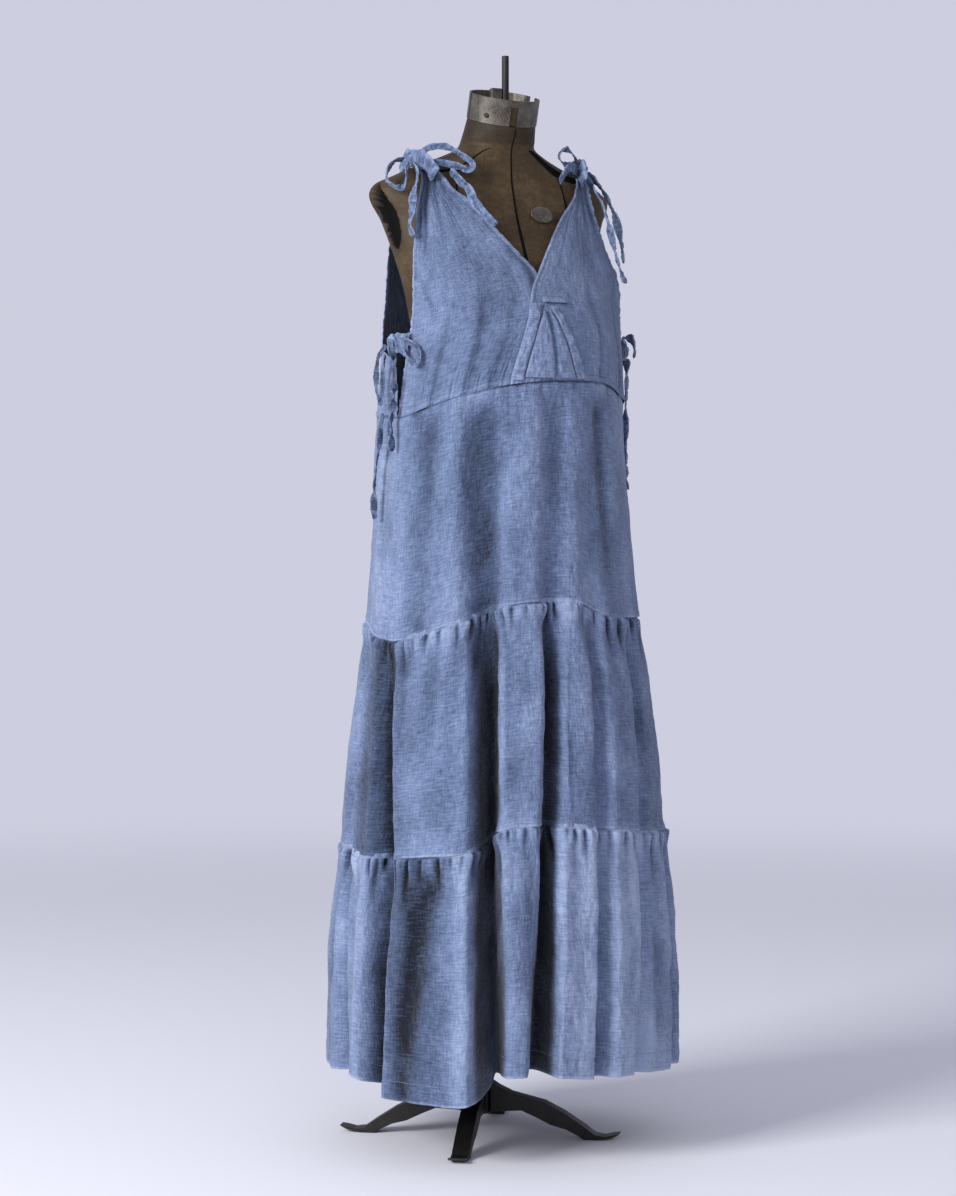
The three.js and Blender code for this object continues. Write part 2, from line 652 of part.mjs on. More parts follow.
// Each tie is a route of points, laid by hand, and its width.
const ties = {
  shoulder_right_ring: {
    width: thinTailWidth,
    route: [
      [-142, 24, 1370], [-158, 14, 1366], [-174, 4, 1351], [-178, -2, 1336], [-170, -8, 1327],
      [-160, -12, 1326], [-153, -12, 1338], [-150, -4, 1352], [-143, 10, 1364],
    ],
  },
  shoulder_right_loop: {
    width: thinTailWidth,
    route: [
      [-124, 15, 1378], [-111, 2, 1386], [-92, -10, 1386], [-74, -22, 1374], [-62, -32, 1361],
      [-68, -36, 1352], [-84, -30, 1357], [-102, -20, 1362], [-116, -2, 1365], [-124, 10, 1368],
    ],
  },
  shoulder_right_tail: {
    width: tailWidth,
    route: [
      [-132, 8, 1361], [-135, -8, 1352], [-141, -20, 1336], [-148, -25, 1317], [-151, -26, 1290],
      [-153, -24, 1270], [-149, -28, 1258],
    ],
  },
  shoulder_right_neck_tail: {
    width: tailWidth,
    route: [
      [-96, -32, 1350], [-91, -38, 1343], [-84, -43, 1333], [-76, -48, 1325], [-73, -53, 1314],
      [-69, -58, 1303], [-62, -64, 1292], [-54, -70, 1281], [-48, -76, 1272],
    ],
  },
  shoulder_left_loop: {
    width: thinTailWidth,
    route: [
      [124, 15, 1379], [112, 6, 1391], [98, -2, 1396], [86, -8, 1391], [82, -12, 1381],
      [90, -10, 1373], [104, 0, 1374], [118, 12, 1372],
    ],
  },
  shoulder_left_stub: {
    width: tailWidth,
    route: [
      [122, 8, 1366], [110, -8, 1364], [98, -20, 1368], [86, -30, 1364], [74, -39, 1352],
      [66, -44, 1343],
    ],
  },
  shoulder_left_tail_front: {
    width: tailWidth,
    route: [
      [131, 10, 1362], [133, -6, 1348], [136, -20, 1334], [142, -32, 1312], [146, -38, 1288],
      [151, -42, 1262], [157, -48, 1232], [162, -58, 1204],
    ],
  },
  shoulder_left_tail_side: {
    width: tailWidth,
    route: [
      [140, 18, 1366], [152, 8, 1352], [160, -4, 1332], [167, -14, 1308], [172, -20, 1282],
      [174, -26, 1258], [174, -30, 1236],
    ],
  },
  side_right_loop: {
    width: thinTailWidth,
    route: [
      [-172, -32, 1114], [-168, -46, 1112], [-161, -60, 1104], [-158, -68, 1092], [-162, -66, 1080],
      [-168, -54, 1086], [-172, -42, 1098], [-175, -33, 1103],
    ],
  },
  side_right_twisted_tail: {
    width: tailWidth,
    route: [
      [-180, -26, 1099], [-182, -30, 1080], [-181, -33, 1055], [-182, -33, 1030],
      [-184, -30, 1005], [-184, -31, 985], [-184, -31, 962],
    ],
  },
  side_right_rear_loop: {
    width: thinTailWidth,
    route: [
      [-183, -12, 1108], [-190, -3, 1095], [-192, 2, 1075], [-192, 2, 1050], [-190, -4, 1030],
      [-189, -11, 1045], [-190, -15, 1070], [-187, -16, 1095],
    ],
  },
  side_right_thin_tail: {
    width: thinTailWidth,
    route: [
      [-188, -11, 1015], [-190, -8, 995], [-191, -5, 970], [-194, 0, 940], [-196, 1, 910],
      [-196, 2, 882], [-195, 2, 870],
    ],
  },
  side_left_stub: {
    width: tailWidth,
    route: [
      [183, -13, 1117], [185, -6, 1127], [190, -5, 1133], [194, -11, 1132], [197, -18, 1124],
      [196, -23, 1113], [194, -26, 1103],
    ],
  },
  side_left_tail: {
    width: tailWidth,
    route: [
      [178, -32, 1100], [181, -27, 1080], [183, -22, 1055], [184, -18, 1025], [186, -14, 995],
      [188, -11, 965], [190, -9, 935], [190, -9, 915],
    ],
  },
};

function tieGeometry({ width, route }) {
  const curve = new THREE.CatmullRomCurve3(
    route.map((point) => new THREE.Vector3(...point)), false, 'centripetal',
  );
  const section = new THREE.Shape();
  const sides = 6;
  for (let i = 0; i < sides; i += 1) {
    const angle = (i / sides) * Math.PI * 2;
    const corner = [Math.cos(angle) * width / 2, Math.sin(angle) * width / 2];
    if (i === 0) section.moveTo(...corner);
    else section.lineTo(...corner);
  }
  section.closePath();
  const steps = Math.max(6, Math.round(curve.getLength() / (width * 2.2)));
  return new THREE.ExtrudeGeometry(section, { steps, extrudePath: curve, bevelEnabled: false });
}

function buildTies() {
  for (const [name, place] of Object.entries(knots)) {
    const knot = new THREE.SphereGeometry(knotRadius, 8, 6);
    knot.rotateX(Math.PI / 2);
    knot.translate(...place);
    add(group, name, knot, 'chambray');
  }
  for (const [name, tie] of Object.entries(ties)) {
    add(group, name, tieGeometry(tie), 'chambray');
  }
}

// ----------------------------------------------------------------- assembly

buildTorso();
buildCollar();
buildBadge();
buildFoot();
buildFronts();
buildBustInset();
buildBack();
buildSkirt();
buildTies();

// The origin is on the floor, below the middle of the whole object's box.
group.updateMatrixWorld(true);
const box = new THREE.Box3().setFromObject(group, true);
group.position.set(-(box.min.x + box.max.x) / 2, -(box.min.y + box.max.y) / 2, -box.min.z);

export default group;
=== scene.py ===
import math
import bpy
import numpy as np
from mathutils import Matrix, Vector


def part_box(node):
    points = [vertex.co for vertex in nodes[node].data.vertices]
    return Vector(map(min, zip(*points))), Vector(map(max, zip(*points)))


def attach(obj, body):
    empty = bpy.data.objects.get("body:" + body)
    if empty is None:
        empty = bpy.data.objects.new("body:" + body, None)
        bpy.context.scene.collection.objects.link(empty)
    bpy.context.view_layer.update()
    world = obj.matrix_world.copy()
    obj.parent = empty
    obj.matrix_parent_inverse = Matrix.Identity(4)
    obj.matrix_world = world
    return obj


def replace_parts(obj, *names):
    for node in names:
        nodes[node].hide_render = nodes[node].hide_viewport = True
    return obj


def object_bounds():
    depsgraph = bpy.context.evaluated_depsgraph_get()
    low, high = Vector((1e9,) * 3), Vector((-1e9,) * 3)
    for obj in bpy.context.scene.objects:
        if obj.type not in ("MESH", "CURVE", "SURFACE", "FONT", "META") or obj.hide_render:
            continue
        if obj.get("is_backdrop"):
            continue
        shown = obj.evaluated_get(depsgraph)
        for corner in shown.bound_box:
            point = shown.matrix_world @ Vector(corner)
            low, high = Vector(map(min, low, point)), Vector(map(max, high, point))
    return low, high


# A tiered chambray sundress on an old dress form. The pattern tables below are in
# millimetres and degrees, as they were drawn, and every object comes out in metres.
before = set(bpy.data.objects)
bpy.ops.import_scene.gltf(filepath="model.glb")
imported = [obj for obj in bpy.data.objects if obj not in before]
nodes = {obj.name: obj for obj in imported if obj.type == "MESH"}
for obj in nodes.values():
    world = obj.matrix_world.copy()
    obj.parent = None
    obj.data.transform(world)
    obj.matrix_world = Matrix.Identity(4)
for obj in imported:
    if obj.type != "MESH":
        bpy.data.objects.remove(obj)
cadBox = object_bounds()
mm = 0.001
poleLow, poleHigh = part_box("pole")  # the drawing has the pole at (-20, 36)
drawingZero = np.array([(poleLow.x + poleHigh.x) / 2 + 20 * mm,
                        (poleLow.y + poleHigh.y) / 2 - 36 * mm, 0.0])
print("frame loaded,", len(nodes), "nodes")


def feed(tree, socket, value):
    # a socket takes a link, a colour or a plain value
    if isinstance(value, bpy.types.NodeSocket):
        tree.links.new(value, socket)
    elif socket.type == "RGBA":
        socket.default_value = (*value, 1)
    else:
        socket.default_value = value


def addNode(tree, kind, **settings):
    node = tree.nodes.new("ShaderNode" + kind)
    for key, value in settings.items():
        if key in node.inputs:
            feed(tree, node.inputs[key], value)
        else:
            setattr(node, key, value)
    return node


def newFinish(name):
    finish = bpy.data.materials.new(name)
    finish.use_nodes = True
    return finish, finish.node_tree


def coat(tree, settings):
    shader = tree.nodes["Principled BSDF"]
    for key, value in settings.items():
        feed(tree, shader.inputs[key], value)


def objectPlace(tree):
    return addNode(tree, "TexCoord").outputs["Object"]


def spread(tree, value, low, high):
    return addNode(tree, "MapRange", Value=value, **{"To Min": low, "To Max": high}).outputs["Result"]


def linkObject(name, data):
    item = bpy.data.objects.new(name, data)
    bpy.context.scene.collection.objects.link(item)
    return item


studio = {
    "distance": 3.8, "azimuth": -25.3, "eyeHeight": 0.80, "lens": 81.45, "film": 36,
    "aim": (-0.0325, 0.0147, 0.7607), "lightAim": (0, 0, 0.8),
    "roomColour": (0.61, 0.615, 0.735), "roomSeen": 1.0, "roomLight": 0.74,
    "floorColour": (0.86, 0.86, 0.90), "floorRoughness": 0.85,
    "floorRadius": 7, "floorSides": 96, "floorFade": (2.2, 5.2),
    # place, size, power and colour
    "lights": {"windowLight": ((-4.3, -1.4, 2.5), 1.9, 245, (0.97, 0.98, 1)),
               "fillLight": ((-1.6, -4.6, 2.6), 2.6, 30, (0.93, 0.95, 1))},
}


def turnTo(item, target):
    item.rotation_euler = (Vector(target) - item.location).to_track_quat("-Z", "Y").to_euler()


def setCamera():
    turn = math.radians(studio["azimuth"])
    cameraData = bpy.data.cameras.new("studioCamera")
    cameraData.lens, cameraData.sensor_width = studio["lens"], studio["film"]
    camera = linkObject("studioCamera", cameraData)
    camera.location = (studio["distance"] * math.sin(turn),
                       -studio["distance"] * math.cos(turn), studio["eyeHeight"])
    turnTo(camera, studio["aim"])
    bpy.context.scene.camera = camera


def setLights():
    for name, (place, size, power, colour) in studio["lights"].items():
        light = bpy.data.lights.new(name, "AREA")
        light.size, light.energy, light.color = size, power, colour
        lamp = linkObject(name, light)
        lamp.location = place
        turnTo(lamp, studio["lightAim"])


def setRoom():
    world = bpy.data.worlds.new("paleRoom")
    world.use_nodes = True
    tree = world.node_tree
    sky = tree.nodes["Background"]
    feed(tree, sky.inputs["Color"], studio["roomColour"])
    # the room behind is paler than the light it throws
    seen = addNode(tree, "LightPath").outputs["Is Camera Ray"]
    feed(tree, sky.inputs["Strength"], spread(tree, seen, studio["roomLight"], studio["roomSeen"]))
    bpy.context.scene.world = world
    bpy.context.scene.view_settings.view_transform = "Standard"


def layFloor():
    radius, sides = studio["floorRadius"], studio["floorSides"]
    mesh = bpy.data.meshes.new("paleFloor")
    rim = [(radius * math.cos(a), radius * math.sin(a), 0) for a in np.linspace(0, 2 * math.pi, sides, False)]
    mesh.from_pydata(rim, [], [tuple(range(sides))])
    paint, tree = newFinish("paleFloorPaint")
    coat(tree, {"Base Color": studio["floorColour"], "Roughness": studio["floorRoughness"]})
    reach = addNode(tree, "VectorMath", operation="LENGTH")
    feed(tree, reach.inputs[0], objectPlace(tree))
    near, far = studio["floorFade"]
    fade = addNode(tree, "MapRange", interpolation_type="SMOOTHSTEP", Value=reach.outputs["Value"],
                   **{"From Min": near, "From Max": far})
    blend = addNode(tree, "MixShader", Fac=fade.outputs["Result"])
    tree.links.new(tree.nodes["Principled BSDF"].outputs["BSDF"], blend.inputs[1])
    tree.links.new(addNode(tree, "BsdfTransparent").outputs["BSDF"], blend.inputs[2])
    tree.links.new(blend.outputs["Shader"], tree.nodes["Material Output"].inputs["Surface"])
    mesh.materials.append(paint)
    linkObject("paleFloor", mesh)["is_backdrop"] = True


setCamera()
setLights()
setRoom()
layFloor()
print("camera, light and floor are set")


def noiseOf(tree, vector, scale, detail=3.0, roughness=0.55):
    return addNode(tree, "TexNoise", Vector=vector, Scale=scale, Detail=detail,
                   Roughness=roughness).outputs["Fac"]


def stretched(tree, vector, scale):
    return addNode(tree, "Mapping", Vector=vector, Scale=scale).outputs["Vector"]


def rampOf(tree, value, *stops):
    node = addNode(tree, "ValToRGB", Fac=value)
    while len(node.color_ramp.elements) < len(stops):
        node.color_ramp.elements.new(0.5)
    for element, (place, colour) in zip(node.color_ramp.elements, stops):
        element.position, element.color = place, (*colour, 1)
    return node.outputs["Color"]


def mathOf(tree, operation, *values):
    node = addNode(tree, "Math", operation=operation)
    for socket, value in zip(node.inputs, values):
        feed(tree, socket, value)
    return node.outputs[0]


def weighted(tree, *parts):
    # each value times its share, added up
    total, *others = [mathOf(tree, "MULTIPLY", value, share) for value, share in parts]
    for other in others:
        total = mathOf(tree, "ADD", total, other)
    return total


def mixColours(tree, amount, first, second):
    node = addNode(tree, "Mix", data_type="RGBA")
    for place, value in ((0, amount), (6, first), (7, second)):
        feed(tree, node.inputs[place], value)
    return node.outputs[2]


def bumpOf(tree, height, strength, distance, **under):
    return addNode(tree, "Bump", Height=height, Strength=strength, Distance=distance,
                   **under).outputs["Normal"]


chambrayLook = {
    "shadow": (0.004, 0.006, 0.014), "deep": (0.060, 0.088, 0.160),
    "mid": (0.150, 0.200, 0.330), "faded": (0.300, 0.365, 0.520),
    "threadPitch": 0.0011, "weaveBump": (0.55, 0.0006), "crinkleBump": (0.7, 0.004),
    "roughness": 0.9, "sheen": 0.13,
}


def makeChambray():
    finish, tree = newFinish("fadedChambray")
    cloth = addNode(tree, "UVMap", uv_map="clothMap").outputs["UV"]
    # this attribute carries wear, painted shade in folds, creases and seams, and painted light on raised
    # cloth
    wearAndShading = addNode(tree, "Attribute", attribute_name="wearAndShading").outputs["Fac"]
    clouds = noiseOf(tree, cloth, 11, 5, 0.62)
    warpSlubs = noiseOf(tree, stretched(tree, cloth, (430, 55, 1)), 1, 3, 0.6)
    weftSlubs = noiseOf(tree, stretched(tree, cloth, (62, 390, 1)), 1, 3, 0.6)
    specks = noiseOf(tree, cloth, 620, 3, 0.7)
    slubs = weighted(tree, (warpSlubs, 0.27), (weftSlubs, 0.41), (specks, 0.36))
    tone = mathOf(tree, "SUBTRACT", weighted(tree, (slubs, 1.5), (clouds, 0.5), (wearAndShading, 0.42)), 0.385)
    colour = rampOf(tree, tone, (0.08, chambrayLook["shadow"]), (0.44, chambrayLook["deep"]),
                    (0.71, chambrayLook["mid"]), (1.0, chambrayLook["faded"]))
    scale = 0.314 / chambrayLook["threadPitch"]  # a wave's bands lie 0.314 apart at scale 1
    threads = [addNode(tree, "TexWave", bands_direction=direction, Vector=cloth, Scale=scale,
                       Distortion=0.8, **{"Detail Scale": 0.3}).outputs["Fac"] for direction in "XY"]
    weave = mathOf(tree, "MULTIPLY", mathOf(tree, "MAXIMUM", *threads), 0.35)
    woven = bumpOf(tree, mathOf(tree, "ADD", weave, slubs), *chambrayLook["weaveBump"])
    crinkle = noiseOf(tree, stretched(tree, cloth, (150, 85, 1)), 1, 5, 0.62)
    coat(tree, {"Base Color": colour, "Roughness": chambrayLook["roughness"],
                "Normal": bumpOf(tree, crinkle, *chambrayLook["crinkleBump"], Normal=woven),
                "Sheen Weight": chambrayLook["sheen"], "Sheen Roughness": 0.6,
                "Specular IOR Level": 0.2})
    return finish


def makeSpeckled(name, dark, light, speckScale, detail, roughness, specular):
    finish, tree = newFinish(name)
    specks = noiseOf(tree, objectPlace(tree), speckScale, detail)
    coat(tree, {"Base Color": mixColours(tree, specks, dark, light),
                "Roughness": roughness, "Specular IOR Level": specular})
    return finish


formLook = {
    "hollow": (0.0015, 0.0012, 0.001),
    "dark": (0.017, 0.010, 0.004), "brown": (0.058, 0.036, 0.015), "worn": (0.135, 0.090, 0.045),
    "roughness": (0.42, 0.75), "bump": (0.35, 0.0012),
}


def makeFormSkin():
    finish, tree = newFinish("wornFormSkin")
    place = objectPlace(tree)
    clouds = noiseOf(tree, place, 14, 5, 0.6)
    grain = noiseOf(tree, stretched(tree, place, (420, 420, 130)), 1, 4, 0.65)
    scuffs = noiseOf(tree, stretched(tree, place, (60, 60, 210)), 1, 6, 0.7)
    tone = weighted(tree, (clouds, 0.6), (grain, 0.28), (scuffs, 0.2))
    skin = rampOf(tree, tone, (0.36, formLook["dark"]), (0.54, formLook["brown"]), (0.72, formLook["worn"]))
    # painted shade: this attribute turns the skin near black inside the armhole hollow; it also darkens the
    # top of the neck
    darkening = addNode(tree, "Attribute", attribute_name="wearAndShading").outputs["Fac"]
    coat(tree, {"Base Color": mixColours(tree, darkening, skin, formLook["hollow"]),
                "Roughness": spread(tree, clouds, *formLook["roughness"]),
                "Normal": bumpOf(tree, mathOf(tree, "ADD", grain, scuffs), *formLook["bump"]),
                "Specular IOR Level": 0.28})
    return finish


def makeMetal(name, dark, light, metallic, roughness, grainScale):
    finish, tree = newFinish(name)
    place = objectPlace(tree)
    stains = noiseOf(tree, place, 38, 5, 0.65)
    grain = noiseOf(tree, place, grainScale, 3)
    tone = weighted(tree, (stains, 0.7), (grain, 0.3))
    coat(tree, {"Base Color": rampOf(tree, tone, (0.36, dark), (0.64, light)),
                "Roughness": spread(tree, stains, roughness - 0.14, roughness + 0.14),
                "Normal": bumpOf(tree, grain, 0.3, 0.0008), "Metallic": metallic})
    return finish


finishes = {
    "chambray": makeChambray(),
    "thread": makeSpeckled("paleStitchThread", (0.141, 0.18, 0.276), (0.235, 0.30, 0.46), 900, 2, 0.7, 0.5),
    "formSkin": makeFormSkin(),
    "collar": makeMetal("tarnishedCollar", (0.055, 0.046, 0.036), (0.20, 0.18, 0.15), 0.7, 0.45, 420),
    "iron": makeMetal("blackCastIron", (0.006, 0.005, 0.005), (0.022, 0.019, 0.018), 0.35, 0.5, 600),
    "slit": makeSpeckled("darkSlitShade", (0.002, 0.002, 0.0015), (0.007, 0.0055, 0.004), 260, 3, 0.9, 0.1),
}
print("finishes made:", ", ".join(finishes))

# the drawing's sections and seams, the same as the solids'
seamGap = 0.3
wrapLift = 2.8
trimLift = 3
formClearance = 10
sideSeam = 80
foldCrispness = 2.8
mmPerDegree = 2.5  # on the bodice, to lay its edges out flat
neckTop = {"from": 1384, "to": 1429, "slope": math.tan(math.radians(18))}

formSections = [  # height, half width, front, back, place of the widest point
    (800, 148, -95, 110, 0), (880, 150, -98, 112, 0), (980, 122, -80, 84, 0),
    (1050, 130, -104, 92, 0), (1110, 132, -122, 100, 0), (1160, 137, -108, 106, 4),
    (1210, 146, -83, 110, 14), (1285, 168, -46, 108, 36), (1318, 184, -34, 98, 44),
    (1336, 177, -28, 89, 44), (1349, 151, -26, 77, 43), (1365, 116, -25, 74, 40),
    (1380, 79, -25, 78, 34), (1392, 56, -28, 80, 26), (1406, 51.5, -33, 68, 17),
    (1429.3, 48, -40, 53, 6.5),
]
bodiceSections = [
    (1005, 174, -141, 143, 0), (1060, 170, -148, 140, 0), (1110, 166, -152, 138, 0),
    (1160, 163, -136, 136, 2), (1210, 160, -98, 134, 8), (1250, 155, -74, 130, 16),
    (1300, 147, -52, 120, 28), (1335, 140, -36, 104, 34), (1372, 134, -20, 80, 36),
]
skirtRings = [None, (196, 170), (230, 215), (250, 240)]
empireSeam = [(-100, 1012), (-75, 1009), (-60, 1020), (-40, 1036), (-18, 1050),
              (8, 1057), (36, 1055), (56, 1039), (80, 1034), (180, 1030)]
tierOneSeam = [(-115, 730), (-78, 703), (-60, 711), (-38, 733), (-22, 751), (2, 758),
               (14, 752), (27, 737), (60, 734), (120, 733), (180, 736)]
tierTwoSeam = [(-105, 418), (-75, 411), (-50, 417), (-35, 425), (-24, 454), (-10, 459), (10, 453),
               (40, 442), (75, 436), (180, 432)]
hemLine = [(-110, 113), (-79, 112), (-70, 95), (-50, 91), (-33, 93), (-27, 124),
           (-10, 128), (5, 122), (25, 120), (45, 114), (90, 113), (180, 113)]
skirtSeams = [empireSeam, tierOneSeam, tierTwoSeam, hemLine]
folds = [  # degrees at the four levels, depths at the same, half widths in degrees
    ((-32, -29.7, -29.9, -28.9), (17, 28, 60, 84), (10, 4)),
    ((2, -1.4, -7.2, -12.2), (6, 14, 44, 70), (7, 3)),
    ((22, 17, 13.6, 9.6), (7, 9, 15, 22), (6, 2.8)),
    ((32, 42, 34, 25), (2, 5, 10, 16), (6, 2.8)),
    ((58, 64, 57, 50), (2, 6, 14, 24), (7, 3.4)),
    ((84, 86, 78, 73), (2, 6, 22, 40), (7, 3.6)),
    ((106, 104, 99, 97), (4, 10, 34, 54), (8, 3.8)),
    ((128, 126, 122, 119), (3, 8, 26, 44), (8, 4)),
    ((150, 149, 146, 144), (5, 11, 38, 60), (8, 4)),
    ((172, 170, 169, 168), (3, 8, 26, 44), (8, 4)),
    ((194, 193, 192, 191), (4, 11, 40, 64), (8, 4)),
    ((216, 215, 215, 214), (3, 8, 26, 44), (8, 4)),
    ((237, 236, 237, 237), (5, 10, 34, 54), (8, 4)),
    ((258, 260, 265, 271), (1, 5, 16, 26), (7, 3.4)),
    ((276, 282, 290, 288), (1, 6, 30, 50), (6, 3.6)),
]


def mix(a, b, t):
    return a + (b - a) * t


def smoothStep(x, low, high):
    t = np.clip((x - low) / (high - low), 0, 1)
    return t * t * (3 - 2 * t)


def bell(x, centre, half):
    return np.exp(-(((x - centre) / half) ** 2))


def unit(vectors):
    return vectors / np.maximum(np.linalg.norm(vectors, axis=-1, keepdims=True), 1e-9)


def turnBetween(angle, place):
    return np.mod(angle - place + 180, 360) - 180


def easeBetween(t, start, end, slopeFrom, slopeTo):
    return ((2 * t**3 - 3 * t**2 + 1) * start + (t**3 - 2 * t**2 + t) * slopeFrom
            + (3 * t**2 - 2 * t**3) * end + (t**3 - t**2) * slopeTo)


def alongStations(stations, place):
    table = np.array(stations, float)
    s, values = table[:, 0], table[:, 1:]
    place = np.clip(np.asarray(place, float), s[0], s[-1])
    i = np.clip(np.searchsorted(s, place, side="right") - 1, 0, len(s) - 2)
    before, after = np.maximum(i - 1, 0), np.minimum(i + 2, len(s) - 1)
    span = s[i + 1] - s[i]
    t = ((place - s[i]) / span)[..., None]
    wide = span[..., None]
    slopeFrom = (values[i + 1] - values[before]) / (s[i + 1] - s[before])[..., None] * wide
    slopeTo = (values[after] - values[i]) / (s[after] - s[i])[..., None] * wide
    return easeBetween(t, values[i], values[i + 1], slopeFrom, slopeTo)


def seamHeight(seam, angle):
    first, second, last = seam[0], seam[1], seam[-1]
    turned = first[0] + np.mod(np.asarray(angle, float) - first[0], 360)
    closed = [(last[0] - 360, last[1]), *seam, (first[0] + 360, first[1]), (second[0] + 360, second[1])]
    return alongStations(closed, turned)[..., 0]


def ringPoint(halfWidth, front, back, middle, angle, squareness):
    sine, cosine = np.sin(np.radians(angle)), np.cos(np.radians(angle))
    power = 2 / squareness
    x = np.where(cosine >= 0, halfWidth * sine, halfWidth * np.sign(sine) * np.abs(sine) ** power)
    y = np.where(cosine >= 0, middle + (front - middle) * cosine,
                 middle + (back - middle) * np.abs(cosine) ** power)
    return x, y


def formSurfaceY(height, x, towardsBack):
    section = alongStations(formSections, height)
    halfWidth, front, back, middle = (section[..., k] for k in range(4))
    reach = np.sqrt(np.maximum(0, 1 - (x / halfWidth) ** 2))
    return middle + ((back if towardsBack else front) - middle) * reach


def smoothMinimum(a, b, blend):
    h = np.clip(0.5 + 0.5 * (b - a) / blend, 0, 1)
    return mix(b, a, h) - blend * h * (1 - h)


def bodicePoint(angle, height, lift=0):
    angle, height = np.broadcast_arrays(np.asarray(angle, float), np.asarray(height, float))
    section = alongStations(bodiceSections, height)
    halfWidth, front, back, middle = (section[..., k] for k in range(4))
    x, y = ringPoint(halfWidth, front, back, middle, angle, 2.7)
    inFront = smoothMinimum(y, formSurfaceY(height, x, False) - formClearance, 6)
    behind = -smoothMinimum(-y, -formSurfaceY(height, x, True) - formClearance, 6)
    y = np.where(np.cos(np.radians(angle)) > -0.05, inFront, behind)
    reach = np.hypot(x, y - middle)
    return np.stack([x + x / reach * lift, y + (y - middle) / reach * lift, height], -1)


def leftFrontPoint(angle, height, lift=0):
    flare = 11 * smoothStep(angle, 38, 66) * bell(height, 1212, 45)
    return bodicePoint(angle, height, wrapLift + flare + lift)


def foldDepth(angle, level):
    total = np.zeros(np.broadcast(angle, level).shape)
    for at, depth, width in folds:
        place = np.interp(level, [0, 1, 2, 3], at)
        depths = [(0, 0), (0.5, depth[0]), (1, depth[1]), (1.3, mix(depth[1], depth[2], 0.7)),
                  (2, depth[2]), (3, depth[3])]
        widths = [(0, width[0]), (1, mix(width[0], width[1], 0.45)), (1.3, width[1] * 1.15), (3, width[1])]
        away = turnBetween(angle, place)
        halfWidth = alongStations(widths, level)[..., 0]
        total += alongStations(depths, level)[..., 0] * np.exp(-np.abs(away / halfWidth) ** foldCrispness)
    return total


def tierFlare(tier, v):
    return v**1.2 if tier == 0 else 1 - (1 - v) ** (1.5 if tier == 1 else 2.6)


def seamRing(tier, angle):
    if tier == 0:
        return bodicePoint(angle, seamHeight(empireSeam, angle))[..., :2]
    halfWidth, halfDepth = skirtRings[tier]
    return np.stack(ringPoint(halfWidth, -halfDepth, halfDepth, 0, angle, 2), -1)


def skirtPoint(tier, angle, v):
    w = tierFlare(tier, v)[..., None]
    ring = mix(seamRing(tier, angle), seamRing(tier + 1, angle), w)
    reach = np.hypot(ring[..., 0], ring[..., 1])
    ring = ring * (1 - foldDepth(angle, tier + v) / reach)[..., None]
    upper = seamHeight(skirtSeams[tier], angle) - seamGap / 2
    lower = seamHeight(skirtSeams[tier + 1], angle) + (seamGap / 2 if tier < 2 else 0)
    return np.concatenate([ring, mix(upper, lower, v)[..., None]], -1)


def smoothCurve(points, perSpan=14):
    given = np.array(points, float)
    laid = np.vstack([2 * given[0] - given[1], given, 2 * given[-1] - given[-2]])
    pieces = []
    for i in range(1, len(laid) - 2):
        p0, p1, p2, p3 = laid[i - 1:i + 3]
        d0, d1, d2 = (max(np.linalg.norm(b - a) ** 0.5, 1e-4) for a, b in ((p0, p1), (p1, p2), (p2, p3)))
        m1 = ((p1 - p0) / d0 - (p2 - p0) / (d0 + d1) + (p2 - p1) / d1) * d1
        m2 = ((p2 - p1) / d1 - (p3 - p1) / (d1 + d2) + (p3 - p2) / d2) * d1
        pieces.append(easeBetween(np.linspace(0, 1, perSpan, False)[:, None], p1, p2, m1, m2))
    return np.vstack([*pieces, given[-1:]])


def lengthsAlong(points):
    steps = np.linalg.norm(np.diff(points, axis=0), axis=1)
    return np.concatenate([[0], np.cumsum(steps)])


def evenly(points, count):
    along = lengthsAlong(points)
    wanted = np.linspace(0, along[-1], count)
    return np.stack([np.interp(wanted, along, points[:, k]) for k in range(points.shape[1])], -1)


def softNoise(x, y, seed):
    lattice = np.random.default_rng(seed).random((64, 64)) * 2 - 1
    xi, yi = np.floor(x).astype(int), np.floor(y).astype(int)
    fx, fy = x - xi, y - yi
    fx, fy = fx * fx * (3 - 2 * fx), fy * fy * (3 - 2 * fy)
    corner = lambda i, j: lattice[(xi + i) % 64, (yi + j) % 64]
    return mix(mix(corner(0, 0), corner(1, 0), fx), mix(corner(0, 1), corner(1, 1), fx), fy)


def toFrame(points):
    return np.asarray(points, float) * mm + drawingZero


def linkPiece(name, mesh, finish):
    mesh.materials.append(finishes[finish])
    piece = linkObject(name, mesh)
    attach(piece, "root")
    return piece


def meshOf(name, points, faces, flat=None, wearAndShading=None):
    mesh = bpy.data.meshes.new(name)
    mesh.from_pydata(np.asarray(points, float).tolist(), [],
                     faces if isinstance(faces, list) else faces.tolist())
    mesh.polygons.foreach_set("use_smooth", [True] * len(mesh.polygons))
    if flat is not None:
        corner = np.zeros(len(mesh.loops), int)
        mesh.loops.foreach_get("vertex_index", corner)
        clothMap = mesh.uv_layers.new(name="clothMap")
        clothMap.data.foreach_set("uv", np.asarray(flat, float)[corner].ravel())
    if wearAndShading is not None:
        layer = mesh.attributes.new("wearAndShading", "FLOAT", "POINT")
        layer.data.foreach_set("value", np.asarray(wearAndShading, np.float32).ravel())
    mesh.update()
    return mesh


def gridFaces(rowCount, columnCount, closed=False):
    r = np.arange(rowCount - 1)[:, None]
    c = np.arange(columnCount if closed else columnCount - 1)[None, :]
    nextC = (c + 1) % columnCount
    return np.stack([r * columnCount + c, (r + 1) * columnCount + c,
                     (r + 1) * columnCount + nextC, r * columnCount + nextC], -1).reshape(-1, 4)


def capFaces(rowCount, columnCount):
    last = (rowCount - 1) * columnCount
    return [list(range(columnCount))[::-1], list(range(last, last + columnCount))]


def outwardOf(points):
    return unit(np.cross(np.gradient(points, axis=0), np.gradient(points, axis=1)))


